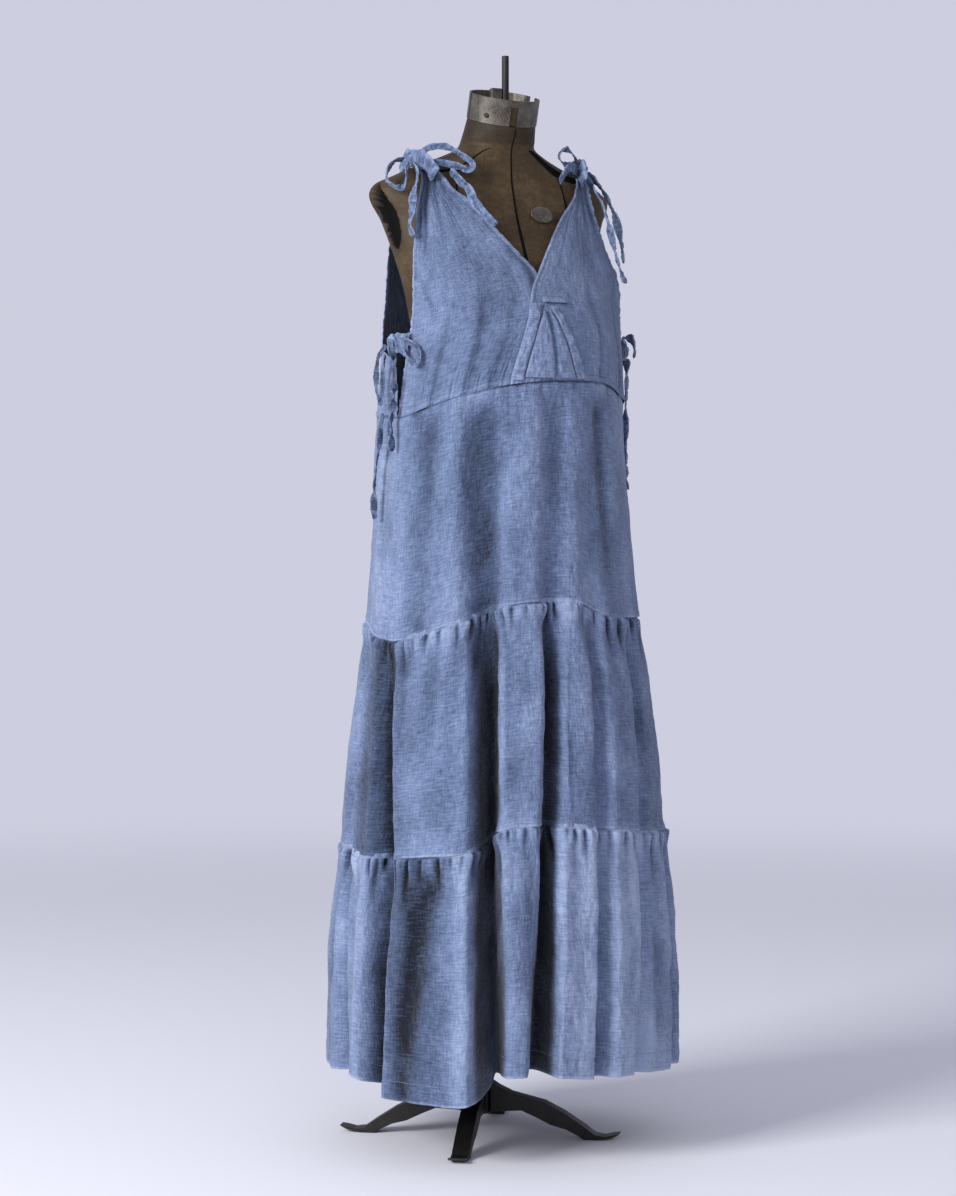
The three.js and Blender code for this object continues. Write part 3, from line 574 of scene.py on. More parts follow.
def flatMap(points):
    across = np.linalg.norm(np.diff(points, axis=1), axis=2)
    middle = across[len(across) // 2:].mean(0)
    u = np.concatenate([[0], np.cumsum(middle)])
    down = np.linalg.norm(np.diff(points, axis=0), axis=2).mean(1)
    v = np.concatenate([[0], np.cumsum(down)])
    return np.broadcast_to(u, points.shape[:2]), np.broadcast_to(v[:, None], points.shape[:2])


turnLook = {"depth": 9, "inside": 1.3}  # how far a raw edge is folded in


def sewCloth(name, points, wearAndShading, flat, held, restsOn, turned="", turnDepth=turnLook["depth"], **area):
    # turned names the edges whose cloth is folded in: t, b, l, r
    outward = outwardOf(points)
    u, v = flatMap(points)
    data = np.concatenate([points, u[..., None], v[..., None], wearAndShading[..., None]], -1)
    for side in turned:
        axis, flip = (0, side == "b") if side in "tb" else (1, side == "r")
        d = np.flip(data, axis) if flip else data
        n = np.flip(outward, axis) if flip else outward
        if axis:
            d, n = d.swapaxes(0, 1), n.swapaxes(0, 1)
        steps = lengthsAlong(d[:, d.shape[1] // 2, :3])
        k = max(2, int(np.searchsorted(steps, turnDepth)))
        lip, under = d[:1].copy(), d[k:k + 1].copy()
        lip[..., :3] -= n[:1] * turnLook["inside"] * 0.7
        lip[..., :3] += (d[1:2, :, :3] - d[:1, :, :3]) * 0.15
        under[..., :3] -= n[k:k + 1] * turnLook["inside"]
        d = np.concatenate([under, lip, d], 0)
        n = np.concatenate([n[k:k + 1], n[:1], n], 0)
        if axis:
            d, n = d.swapaxes(0, 1), n.swapaxes(0, 1)
        data, outward = (np.flip(d, axis), np.flip(n, axis)) if flip else (d, n)
    rows, columns = data.shape[:2]
    flatPoints = data.reshape(-1, 6)
    mesh = meshOf("cloth_" + name, toFrame(flatPoints[:, :3]), gridFaces(rows, columns),
                  flatPoints[:, 3:5] * mm, flatPoints[:, 5])
    piece = linkPiece("cloth_" + name, mesh, "chambray")
    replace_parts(piece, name)


stitchShape = {"length": 2.6, "gap": 0.9, "width": 0.75, "height": 0.55}


def stitchLine(name, line, outward):
    # a row of raised thread dashes along a line of points, in drawing units
    along = lengthsAlong(line)
    pitch = stitchShape["length"] + stitchShape["gap"]
    points, faces = [], []
    for start in np.arange(0, along[-1] - stitchShape["length"], pitch):
        ends = [np.array([np.interp(s, along, line[:, k]) for k in range(3)])
                for s in (start, start + stitchShape["length"])]
        up = np.array([np.interp(start, along, outward[:, k]) for k in range(3)])
        run = ends[1] - ends[0]
        side = np.cross(up, run)
        side *= stitchShape["width"] / 2 / max(np.linalg.norm(side), 1e-9)
        base = len(points)
        middle = (ends[0] + ends[1]) / 2 + up * stitchShape["height"]
        for place, swell in ((ends[0], 0.5), (middle, 1), (ends[1], 0.5)):
            lift = up * 0.1
            points += [place + lift - side * swell, place + lift + up * 0.25 * swell,
                       place + lift + side * swell]
        for k in (0, 3):
            faces += [[base + k, base + k + 1, base + k + 4, base + k + 3],
                      [base + k + 1, base + k + 2, base + k + 5, base + k + 4]]
    mesh = meshOf(name, toFrame(points), faces)
    return linkPiece(name, mesh, "thread")


# flat tubes of cloth, with the way each one lies
ties = {
    "shoulder_right_ring": dict(width=7, ends="object", twist=0.5, route=[
        (-142, 24, 1370), (-158, 14, 1366), (-174, 4, 1351), (-178, -2, 1336), (-170, -8, 1327),
        (-160, -12, 1326), (-153, -12, 1338), (-150, -4, 1352), (-143, 10, 1364)]),
    "shoulder_right_loop": dict(width=7, ends="object", twist=0.35, route=[
        (-124, 15, 1378), (-111, 2, 1386), (-92, -10, 1386), (-74, -22, 1374), (-62, -32, 1361),
        (-68, -36, 1352), (-84, -30, 1357), (-102, -20, 1362), (-116, -2, 1365), (-124, 10, 1368)]),
    "shoulder_right_tail": dict(width=9, twist=0.5, route=[
        (-132, 8, 1361), (-135, -8, 1352), (-141, -20, 1336), (-148, -25, 1317), (-151, -26, 1290),
        (-153, -24, 1270), (-149, -28, 1258)]),
    "shoulder_right_neck_tail": dict(width=9, twist=0.3, route=[
        (-96, -32, 1350), (-91, -38, 1343), (-84, -43, 1333), (-76, -48, 1325), (-73, -53, 1314),
        (-69, -58, 1303), (-62, -64, 1292), (-54, -70, 1281), (-48, -76, 1272)]),
    "shoulder_left_loop": dict(width=7, ends="object", twist=0.4, route=[
        (124, 15, 1379), (112, 6, 1391), (98, -2, 1396), (86, -8, 1391), (82, -12, 1381),
        (90, -10, 1373), (104, 0, 1374), (118, 12, 1372)]),
    "shoulder_left_stub": dict(width=9, twist=0.2, route=[
        (122, 8, 1366), (110, -8, 1364), (98, -20, 1368), (86, -30, 1364), (74, -39, 1352),
        (66, -44, 1343)]),
    "shoulder_left_tail_front": dict(width=9, twist=0.6, route=[
        (131, 10, 1362), (133, -6, 1348), (136, -20, 1334), (142, -32, 1312), (146, -38, 1288),
        (151, -42, 1262), (157, -48, 1232), (162, -58, 1204)]),
    "shoulder_left_tail_side": dict(width=9, twist=0.5, route=[
        (140, 18, 1366), (152, 8, 1352), (160, -4, 1332), (167, -14, 1308), (172, -20, 1282),
        (174, -26, 1258), (174, -30, 1236)]),
    "side_right_loop": dict(width=7, darkenBy=0.25, ends="object", twist=0.4, route=[
        (-172, -32, 1114), (-168, -46, 1112), (-161, -60, 1104), (-158, -68, 1092), (-162, -66, 1080),
        (-168, -54, 1086), (-172, -42, 1098), (-175, -33, 1103)]),
    "side_right_twisted_tail": dict(width=9, darkenBy=0.55, twist=1.6, route=[
        (-180, -26, 1099), (-182, -30, 1080), (-181, -33, 1055), (-182, -33, 1030),
        (-184, -30, 1005), (-184, -31, 985), (-184, -31, 962)]),
    "side_right_rear_loop": dict(width=7, darkenBy=0.5, ends="object", twist=0.4, route=[
        (-183, -12, 1108), (-190, -3, 1095), (-192, 2, 1075), (-192, 2, 1050), (-190, -4, 1030),
        (-189, -11, 1045), (-190, -15, 1070), (-187, -16, 1095)]),
    "side_right_thin_tail": dict(width=7, darkenBy=0.6, twist=0.8, route=[
        (-188, -11, 1015), (-190, -8, 995), (-191, -5, 970), (-194, 0, 940), (-196, 1, 910),
        (-196, 2, 882), (-195, 2, 870)]),
    "side_left_stub": dict(width=9, twist=0.3, route=[
        (183, -13, 1117), (185, -6, 1127), (190, -5, 1133), (194, -11, 1132), (197, -18, 1124),
        (196, -23, 1113), (194, -26, 1103)]),
    "side_left_tail": dict(width=9, twist=0.7, route=[
        (178, -32, 1100), (181, -27, 1080), (183, -22, 1055), (184, -18, 1025), (186, -14, 995),
        (188, -11, 965), (190, -9, 935), (190, -9, 915)]),
}


bandShape = {"sides": 18, "step": 1.3, "thickness": 0.38, "darkenBy": 0.1}


def sweptBand(route, width, thickness, twist, seed):
    # the cloth tube along a route: path, points, faces, flat places and wear
    curve = smoothCurve(route)
    path = evenly(curve, max(20, int(lengthsAlong(curve)[-1] / bandShape["step"])))
    along = lengthsAlong(path)
    run = unit(np.gradient(path, axis=0))
    away = path * np.array([1, 1, 0.0])
    face = unit(away - run * (away * run).sum(1, keepdims=True))
    for k in range(1, len(face)):  # no sudden flips where the route turns back
        if (face[k] * face[k - 1]).sum() < 0:
            face[k] = -face[k]
        face[k] = face[k] * 0.3 + face[k - 1] * 0.7
        face[k] = unit(face[k] - run[k] * (face[k] * run[k]).sum())
    side = np.cross(face, run)
    turn = twist * (np.sin(along / 17 + seed) + 0.6 * np.sin(along / 7.3 + 2 * seed))
    ring = np.linspace(0, 2 * math.pi, bandShape["sides"], False)
    a, s = np.meshgrid(ring, along)
    sine, cosine = np.sin(a), np.cos(a)
    wide = width / 2 * (1.3 + 0.2 * softNoise(s / 6, s * 0 + seed, seed))
    thick = thickness / 2 * (1 + 0.5 * softNoise(s / 4, s * 0, seed + 1))
    creased = (1.3 * softNoise(s / 3.4, sine * 1.2 + cosine * 1.7 + 7, seed + 2)
               + 0.7 * softNoise(s / 1.9, cosine * 2.2 + 9, seed + 6))
    nearEnd = np.minimum(s / 3, (along[-1] - s) / 1.6)
    thick = thick * np.clip(nearEnd, 0.25, 1) ** 0.5
    wide = wide * np.clip(0.75 + nearEnd * 0.25, 0, 1)
    across = cosine * wide
    up = np.sign(sine) * np.abs(sine) ** 0.75 * thick
    pinch = 0.55 * thickness * np.exp(-((cosine * 2.2 + softNoise(s / 16, s * 0 + 3, seed + 5)) ** 2) * 3)
    up = up - np.sign(sine) * pinch * 0.35 + creased * 0.55
    cosTurn, sinTurn = np.cos(turn)[:, None], np.sin(turn)[:, None]
    x, y = across * cosTurn - up * sinTurn, across * sinTurn + up * cosTurn
    points = path[:, None] + side[:, None] * x[..., None] + face[:, None] * y[..., None]
    # paler along the folded edges, with painted shade in the creases and painted light on their crests
    wearAndShading = (0.75 * np.abs(cosine) ** 5 - 0.15 + 0.3 * softNoise(s / 6, a * 2, seed + 3)
            + 0.28 * creased.clip(-2.5, 1))
    flat = np.stack([ring / (2 * math.pi) * width * 2 + 0 * s, s], -1) * mm
    faces = gridFaces(*a.shape, closed=True).tolist()
    faces += capFaces(*a.shape)
    return path, points.reshape(-1, 3), faces, flat.reshape(-1, 2), wearAndShading.ravel()


def layTies():
    for number, (name, tie) in enumerate(ties.items()):
        width, ends = tie["width"], tie.get("ends", "bare")
        path, points, faces, flat, wearAndShading = sweptBand(
            tie["route"], width, bandShape["thickness"] * width, tie["twist"], 11 + number)
        wearAndShading = wearAndShading - tie.get("darkenBy", bandShape["darkenBy"])
        mesh = meshOf("cloth_" + name, toFrame(points), faces, flat, wearAndShading)
        piece = linkPiece("cloth_" + name, mesh, "chambray")
        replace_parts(piece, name)


layTies()
print("ties laid")

knots = {
    "shoulder_knot_right": dict(place=(-132, 20, 1372), lean=(20, 35, 10), necks=[
        [(-132, 20, 1372), (-127, 0, 1368), (-121, -15, 1359), (-116, -27, 1343)],
        [(-132, 22, 1372), (-131, 40, 1372), (-130, 56, 1364)]]),
    "shoulder_knot_left": dict(place=(130, 22, 1372), lean=(-15, 20, 60), necks=[
        [(130, 22, 1372), (124, 0, 1369), (117, -14, 1362), (113, -25, 1345)],
        [(130, 24, 1372), (130, 42, 1372), (130, 58, 1364)]]),
    "side_knot_right": dict(place=(-176, -22, 1110), lean=(70, 20, 30), necks=[
        [(-176, -22, 1110), (-170, -34, 1111), (-163, -44, 1110)],
        [(-176, -20, 1110), (-172, -4, 1112), (-167, 12, 1112)]]),
    "side_knot_left": dict(place=(176, -24, 1112), lean=(75, -20, 20), necks=[
        [(176, -24, 1112), (171, -36, 1112), (165, -48, 1111)],
        [(176, -22, 1112), (172, -6, 1114), (167, 10, 1114)]]),
}
knotShape = {"reach": 2.55, "band": (8.2, 5.4), "neck": (21, 8.5)}


def tieKnots():
    t = np.linspace(0, 2 * math.pi, 22)
    wrap = np.stack([np.sin(t) + 2 * np.sin(2 * t), np.cos(t) - 2 * np.cos(2 * t),
                     -1.15 * np.sin(3 * t)], -1) * knotShape["reach"]
    for number, (name, knot) in enumerate(knots.items()):
        lean = Matrix.Rotation(math.radians(knot["lean"][2]), 3, "Z")
        for axis, degrees in zip("XY", knot["lean"]):
            lean = lean @ Matrix.Rotation(math.radians(degrees), 3, axis)
        turned = wrap @ np.array(lean).T + np.array(knot["place"])
        parts = [sweptBand(turned, *knotShape["band"], 0.4, 60 + number)]
        parts += [sweptBand(neck, *knotShape["neck"], 0.12, 80 + number * 3 + k)
                  for k, neck in enumerate(knot["necks"])]
        faces, base = [], 0
        for _, partPoints, partFaces, _, _ in parts:
            faces += [[base + i for i in face] for face in partFaces]
            base += len(partPoints)
        _, points, _, flat, wearAndShading = zip(*parts)
        mesh = meshOf("cloth_" + name, toFrame(np.vstack(points)), faces, np.vstack(flat),
                      np.concatenate(wearAndShading))
        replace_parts(linkPiece("cloth_" + name, mesh, "chambray"), name)


tieKnots()
print("knots tied")

tierNames = ["waist", "tier_one", "tier_two"]
panelEnds = {"front": (-sideSeam, sideSeam), "back": (sideSeam, 360 - sideSeam)}
skirtLook = {
    # for each tier: gathers per metre of seam, their depth, and how far down they run
    "gathers": [(24, 1.4, 16), (46, 8, 26), (50, 9, 28)],
    "softFolds": [(7, 1.8), (13, 4.2), (15, 5.0)],  # count in a panel, depth
    "frontColumns": [340, 430, 460], "backColumns": [220, 260, 280], "frontRows": 1.0, "backRows": 1.5,
    # soft folds placed one by one: tier, degrees above and below, depth, half width, reach
    "placedFolds": [(0, -31, -30, 9, 8, 230), (0, 5, 3, 6.5, 5.5, 240), (0, 30, 29, 7.5, 4.5, 230),
                    (0, -56, -60, 4, 5, 260), (0, 148, 150, 8, 8, 230), (0, 182, 180, 6, 6, 240),
                    (0, 214, 215, 7, 7, 230), (1, -50, -53, 5, 4, 170), (1, -66, -64, 4, 3, 230),
                    (2, -47, -61, 10, 4.5, 230), (2, 30, 36, 5, 3.5, 200), (1, 135, 138, 5, 4, 200),
                    (2, 158, 161, 8, 4.5, 230), (2, 225, 221, 8, 4.5, 230)],
    # painted shade, and painted light where the amount is below zero: tier, degrees, half width, amount
    "darkenBy": [(0, -62, 12, 0.3), (1, -80, 10, 0.95), (1, 45, 22, 0.15), (1, 200, 12, 0.3),
             (2, -86, 7, -0.4), (2, -57, 7, 0.85), (2, -47, 5, 0.4), (2, -38, 4, -0.35),
             (2, 3, 7, -0.55), (2, 26, 18, -0.6), (2, 160, 12, 0.3)],
    "drop": 330, "hemDepth": 25, "hemTurning": 16, "topstitch": 5.2,
    "crumple": [(1.7, 21, 52), (0.75, 7, 15), (0.3, 3.4, 7)],  # height, and how far it runs across and down
    "flat": {"waist_front": (0.545, 0.33), "waist_back": (0.645, 0.32),
             "tier_one_front": (0.76, 0.31), "tier_one_back": (0.93, 0.31),
             "tier_two_front": (1.05, 0.34), "tier_two_back": (1.25, 0.34)},
}


def crumpled(across, down, seed, sizes):
    return sum(size * softNoise(across / wide, down / tall, seed + k)
               for k, (size, wide, tall) in enumerate(sizes))


def rowPlaces(length, fine):
    # rows lie close together beside the seams and further apart between them
    steps = [0]
    while steps[-1] < length / 2:
        steps.append(steps[-1] + min(fine * 3, fine + steps[-1] * 0.05))
    half = np.array(steps[:-1]) / length
    return np.concatenate([half, [0.5], (1 - half)[::-1]])


def gatherDepth(across, down, perMetre, depth, reach, seed):
    # narrow pleats that start under a seam and die out at different lengths
    rng = np.random.default_rng(seed)
    width = across.max()
    total = np.zeros(down.shape)
    count = int(perMetre * width / 1000)
    for k in range(count):
        place = (k + rng.uniform(0.1, 0.9)) / count * width
        size = depth * rng.uniform(0.35, 1.25)
        half = rng.uniform(1.7, 3.4)
        run = reach * rng.uniform(0.4, 1.0) * rng.uniform(0.7, 2.2)
        drift = rng.uniform(-0.08, 0.08)
        away = (across - place - drift * down) / (half + down * 0.09)
        near = np.abs(away) < 3
        total[near] += (size * np.exp(-np.abs(away[near]) ** 1.5)
                        * smoothStep(down[near], 0, 4) * bell(down[near], 0, run))
    return total


def longFolds(tier, seed, angle, share, across, down):
    rng = np.random.default_rng(seed)
    count, size = skirtLook["softFolds"][tier]
    total = np.zeros(down.shape)
    for k in range(count):  # scattered between the deep ones
        place = (k + rng.uniform(0.2, 0.8)) / count * across.max()
        half = rng.uniform(7, 15)
        away = (across - place - rng.uniform(-0.06, 0.06) * down) / (half + down * 0.03)
        total += (size * rng.uniform(0.4, 1.2) * np.exp(-np.abs(away) ** 1.8)
                  * smoothStep(down, 2, 60) * (1 - 0.5 * smoothStep(down, 150, 330)))
    for foldTier, above, below, depth, half, run in skirtLook["placedFolds"]:
        if foldTier == tier:
            total += (depth * bell(angle, mix(above, below, share), half) * smoothStep(down, 3, 45)
                      * (1 - 0.8 * smoothStep(down, run * 0.5, run * 1.4)))
    return total


def seamRelief(tier, seed, across, down, up):
    # how the cloth stands at the seam above it and at the seam or hem below
    if tier:  # the gathered edge springs out below its seam
        springy = 1 + 0.7 * softNoise(across / 11, down * 0 + 4, seed + 11)
        relief = 4.2 * springy * smoothStep(down, 0, 5) * bell(down, 5, 16)
    else:
        relief = 0.9 * smoothStep(down, 0, 3) * bell(down, 3, 9)
    if tier < 2:  # the seam's turnings lie under the edge, with a cord-like bead at the seam
        perMetre, size, _ = skirtLook["gathers"][tier]
        relief += 1.1 * bell(up, 5.5, 4) + 1.5 * bell(up, 1.4, 1.3)
        return relief - (gatherDepth(across, up, perMetre * 0.6, size * 0.16, 9, seed + 2)
                         * smoothStep(up, 2, 7))
    hem = skirtLook["hemDepth"]
    relief -= 0.9 * bell(up, hem, 1.3)
    relief += 0.8 * softNoise(across / 13, up * 0 + 2, seed + 3) * (1 - smoothStep(up, hem - 6, hem + 8))
    return relief - 0.7 * softNoise(across / 5, up / 22, seed + 9) * bell(up, hem, 9)


def skirtWearAndShading(tier, seed, angle, across, down, up):
    # paler along most seams and the hem, with painted shade under the empire seam on the waist's top edge and
    # painted light and shade at the listed places
    wearAndShading = (0.12 * bell(down, 0, 4) if tier else -0.5 * bell(down, 0, 1.6))
    wearAndShading += (0.5 if tier == 2 else 0.3) * bell(up, 1, 2.2)
    wearAndShading += 0.12 * softNoise(across / 60, down / 80, seed + 7)
    for paintedTier, place, half, amount in skirtLook["darkenBy"]:
        if paintedTier == tier:
            wearAndShading -= amount * bell(turnBetween(angle, place), 0, half)
    return wearAndShading


def makeSkirtPanel(tier, side):
    name = f"{tierNames[tier]}_{side}"
    seed = 100 + tier * 20 + (side == "back") * 7
    v = rowPlaces(skirtLook["drop"], skirtLook[side + "Rows"])
    angle, share = np.meshgrid(np.linspace(*panelEnds[side], skirtLook[side + "Columns"][tier]), v)
    points = skirtPoint(tier, angle, share)
    across = lengthsAlong(points[len(v) // 3])[None, :] + 0 * share
    down, up = points[:1, :, 2] - points[..., 2], points[..., 2] - points[-1:, :, 2]
    perMetre, size, reach = skirtLook["gathers"][tier]
    gathers = (gatherDepth(across, down, perMetre, size, reach, seed + 1)
               + gatherDepth(across, down, perMetre * 1.7, size * 0.3, reach * 0.7, seed + 8))
    relief = (seamRelief(tier, seed, across, down, up) - gathers
              - longFolds(tier, seed, angle, share, across, down)
              + crumpled(across, down, seed + 4, skirtLook["crumple"]))
    relief *= smoothStep(np.minimum(across, across.max() - across), 0, 9)
    points = points + outwardOf(points) * relief[..., None]
    bend = outwardOf(points)
    # painted light and shade: lighter where the cloth stands out, darker in its hollows, in the gather pleats
    # and in the deep fold valleys
    wearAndShading = (0.16 + 0.085 * relief.clip(-9, 3) - 0.13 * gathers.clip(0, 12)
            - 1.25 * smoothStep(foldDepth(angle, tier + share), 8, 38)
            + skirtWearAndShading(tier, seed, angle, across, down, up))
    tucked = points[:1] - bend[:1] * 1.5 + np.array([0, 0, 5.0])  # its turning under the seam above
    sewCloth(name, np.concatenate([tucked, points]), np.concatenate([wearAndShading[:1], wearAndShading]),
             skirtLook["flat"][name], "gathered",
             f"cloth_{tierNames[tier - 1]}_{side}" if tier else "smooth_form_torso",
             "b" if tier == 2 else "", skirtLook["hemTurning"])
    return name, (points, bend, up)


skirtPanels = dict(makeSkirtPanel(tier, side) for tier in range(3) for side in panelEnds)
print("skirt sewn:", ", ".join(skirtPanels))


def rowAbove(panel, distance):
    points, bend, up = panel
    rows, columns = np.abs(up - distance).argmin(0), np.arange(points.shape[1])
    return points[rows, columns], bend[rows, columns]


def stitchSkirt():
    for name, panel in skirtPanels.items():
        if name.startswith("tier_two"):
            stitchLine("stitches_hem_" + name[9:], *rowAbove(panel, skirtLook["hemDepth"]))
        else:
            stitchLine("stitches_" + name, *rowAbove(panel, skirtLook["topstitch"]))


stitchSkirt()
print("skirt topstitched")


def edgeLine(edge):
    laid = [(angle * mmPerDegree, height) for angle, height in edge]
    return evenly(smoothCurve(laid, 30), 400)


def atShare(line, share):
    place = np.asarray(share) * (len(line) - 1)
    steps = np.arange(len(line))
    return np.stack([np.interp(place, steps, line[:, k]) for k in (0, 1)], -1)


def fillBetween(rightEdge, leftEdge, topEdge, bottomEdge, columnCount):
    rowStep = 0.62 * (bodiceLook["drop"] / bodiceLook["rows"])
    right, left, top = (edgeLine(edge) for edge in (rightEdge, leftEdge, topEdge))
    u, v = np.meshgrid(np.linspace(0, 1, columnCount), rowPlaces(bodiceLook["drop"], rowStep))
    bottomAngle = mix(bottomEdge[0], bottomEdge[1], u)
    bottom = np.stack([bottomAngle * mmPerDegree, aboveEmpire(bottomAngle)], -1)
    wideU, tallV = u[..., None], v[..., None]
    corners = [right[0], left[0], right[-1], left[-1]]
    laid = (mix(atShare(top, u), bottom, tallV) + mix(atShare(right, v), atShare(left, v), wideU)
            - mix(mix(corners[0], corners[1], wideU), mix(corners[2], corners[3], wideU), tallV))
    return u, v, laid[..., 0] / mmPerDegree, laid[..., 1]


def aboveEmpire(angle):
    return seamHeight(empireSeam, angle) + seamGap / 2


def creaseDepth(u, v, panelWidth, creases):
    # each crease is a line of (share down, share across, depth) and a half width
    total = np.zeros(u.shape)
    for line, half in creases:
        stations = np.array(line, float)
        centre = np.interp(v, stations[:, 0], stations[:, 1])
        depth = np.interp(v, stations[:, 0], stations[:, 2])
        total += depth * np.exp(-np.abs((u - centre) * panelWidth / half) ** 1.6)
    return total


def finePleats(u, v, panelWidth, count, depth, reach, seed, fromBottom=False):
    rng = np.random.default_rng(seed)
    total = np.zeros(u.shape)
    down = (1 - v) if fromBottom else v
    for k in range(count):
        start = (k + rng.uniform(0.1, 0.9)) / count
        drift = rng.uniform(-0.05, 0.05)
        half = rng.uniform(1.3, 2.8) * (0.6 + 0.9 * down)
        run = reach * rng.uniform(0.4, 1.5)
        away = (u - start - drift * down) * panelWidth / half
        total += depth * rng.uniform(0.3, 1.2) * np.exp(-np.abs(away) ** 1.6) * bell(down, 0, run)
    return total


bodiceLook = {
    "drop": 300, "rows": 190, "topstitch": 4.8,
    "rightColumns": 170, "leftColumns": 200, "backColumns": 300,
    "crumple": [(0.9, 17, 38), (0.4, 6, 13), (0.26, 3, 6)],
    "rightCreases": [
        ([(0, 0.38, 0), (0.03, 0.38, 5), (0.12, 0.30, 6), (0.24, 0.22, 5), (0.4, 0.17, 0)], 4),
        ([(0, 0.16, 0), (0.04, 0.16, 3), (0.2, 0.12, 4), (0.4, 0.08, 0)], 3.4),
        ([(0, 0.62, 0), (0.04, 0.62, 3.4), (0.18, 0.52, 3), (0.34, 0.44, 0)], 4),
        ([(0, 0.82, 0), (0.05, 0.82, 2.6), (0.2, 0.78, 1.8), (0.32, 0.74, 0)], 4),
        ([(0.55, 0.56, 0), (0.66, 0.58, 3), (0.82, 0.60, 4), (1, 0.61, 3)], 7),
        ([(0.62, 0.34, 0), (0.75, 0.33, 2.2), (1, 0.33, 2.4)], 6),
        ([(0.6, 0.80, 0), (0.75, 0.79, 1.6), (1, 0.78, 2.2)], 6),
        ([(0.44, 0.10, 0), (0.55, 0.16, 2.4), (0.68, 0.26, 0)], 6),
    ],
    "leftCreases": [
        ([(0, 0.5, 0), (0.04, 0.5, 3.6), (0.2, 0.56, 3.2), (0.38, 0.6, 0)], 4),
        ([(0, 0.25, 0), (0.05, 0.26, 2.6), (0.22, 0.34, 2), (0.4, 0.4, 0)], 4),
        ([(0, 0.78, 0), (0.05, 0.78, 2.6), (0.2, 0.80, 2.2), (0.34, 0.8, 0)], 4),
        ([(0.5, 0.5, 0), (0.62, 0.48, 2.2), (0.8, 0.5, 3.2), (1, 0.5, 2.4)], 7),
        ([(0.56, 0.76, 0), (0.7, 0.74, 2.4), (1, 0.73, 2.8)], 7),
        ([(0.42, 0.88, 0), (0.5, 0.82, 2), (0.62, 0.72, 0)], 6),
    ],
    # painted shade, such as the shadow beside the wrap's edge and the shaded side of the bust: share across
    # and down, how wide and tall, how much
    "shaded": {"bodice_front_right": [(0.62, 0.62, 0.2, 0.22, 0.5), (0.945, 0.75, 0.035, 0.26, 1.5),
                                      (0.80, 0.86, 0.14, 0.14, 0.35), (0.2, 0.86, 0.1, 0.12, 0.25)],
               "bodice_front_left": [(0.78, 0.55, 0.14, 0.4, 0.12)]},
    # width and length of each cut piece, and its area, since none is a rectangle
    "flat": {"bodice_front_right": (0.20, 0.35, 0.060), "bodice_front_left": (0.24, 0.34, 0.062),
             "bodice_back": (0.46, 0.34, 0.122)},
}


def downToSeam(edge, angle):
    return edge + [(angle, float(aboveEmpire(angle)))]


# the cut edges, as degrees and heights
rightArmEdge = downToSeam([(-68, 1358), (-73, 1310), (-69, 1254), (-71, 1197), (-74, 1142),
                           (-76, 1107), (-78, 1071)], -79.9)
underWrapEdge = downToSeam([(-52, 1356), (-40, 1327), (-28, 1308), (-14, 1265), (-5, 1234), (1, 1208),
                            (0, 1178), (-5, 1131), (-9, 1096), (-12, 1065)], -12.5)
wrapEdge = downToSeam([(50, 1354), (39, 1323), (24, 1289), (12, 1249), (2, 1210), (-6, 1178),
                       (-12, 1131), (-16, 1096), (-18.5, 1065)], -19)
leftArmEdge = downToSeam([(64, 1357), (60, 1317), (63, 1285), (67, 1241), (68, 1211), (67, 1175),
                          (68, 1138), (74, 1107), (78, 1071)], 79.9)
backSide = downToSeam([(99, 1366), (109, 1345), (118, 1300), (122, 1240), (119, 1180), (106, 1130),
                       (88, 1107), (83, 1071)], 80.1)
backOtherSide = [(360 - angle, height) for angle, height in backSide]
halfNeck = [backSide[0], (113, 1363), (130, 1342), (146, 1304), (163, 1276)]
backNeck = halfNeck + [(180, 1268)] + [(360 - angle, height) for angle, height in halfNeck[::-1]]


def makeBodicePanel(name, edges, columnCount, place, creases, seed, turned, finePleatCount):
    u, v, angle, height = fillBetween(*edges, columnCount)
    points = place(angle, height)
    widths = np.linalg.norm(np.diff(points, axis=1), axis=2).sum(1)[:, None]
    across, down = angle * mmPerDegree, points[:1, :, 2] - points[..., 2]
    sideways, up = np.minimum(u, 1 - u) * widths, height - aboveEmpire(angle)
    relief = (crumpled(across, down, seed, bodiceLook["crumple"]) - creaseDepth(u, v, widths, creases)
              - finePleats(u, v, widths, finePleatCount, 1.5, 0.34, seed + 4)
              - finePleats(u, v, widths, int(columnCount / 9), 1.4, 0.16, seed + 5, True))
    relief *= smoothStep(sideways, -1.5, 7)
    relief += 0.7 * bell(sideways, 2.5, 2.4) - 0.5 * bell(sideways, 6.5, 1.5)  # turned edges
    relief += 1.1 * bell(up, 5, 4) + 0.9 * bell(up, 1.2, 1.2) - 0.8 * bell(up, 9, 1.3)  # empire seam
    relief += bell(sideways, 3, 6) * (1.3 * softNoise(across * 0.02 + 5, down / 4.6, seed + 7)
                                      + 0.8 * softNoise(across / 3, down / 2.6, seed + 8))
    points = points + outwardOf(points) * relief[..., None]
    # painted shade on the listed patches, in the creases and just above the empire seam, painted light on
    # raised cloth; the turned edges are paler with wear
    shaded = sum(amount * bell(u, overTo, wide) * bell(v, downTo, tall)
                 for overTo, downTo, wide, tall, amount in bodiceLook["shaded"].get(name, []))
    wearAndShading = (0.08 + 0.13 * relief.clip(-5, 3) + 0.3 * bell(sideways, 1.5, 2.2) - shaded
            - 0.8 * bell(up, -0.4, 1.3) + 0.12 * softNoise(across / 50, down / 60, seed + 6))
    *flatSize, cutArea = bodiceLook["flat"][name]
    sewCloth(name, points, wearAndShading, tuple(flatSize), "hung", "smooth_form_torso", turned, area=cutArea)
    return points, outwardOf(points), up


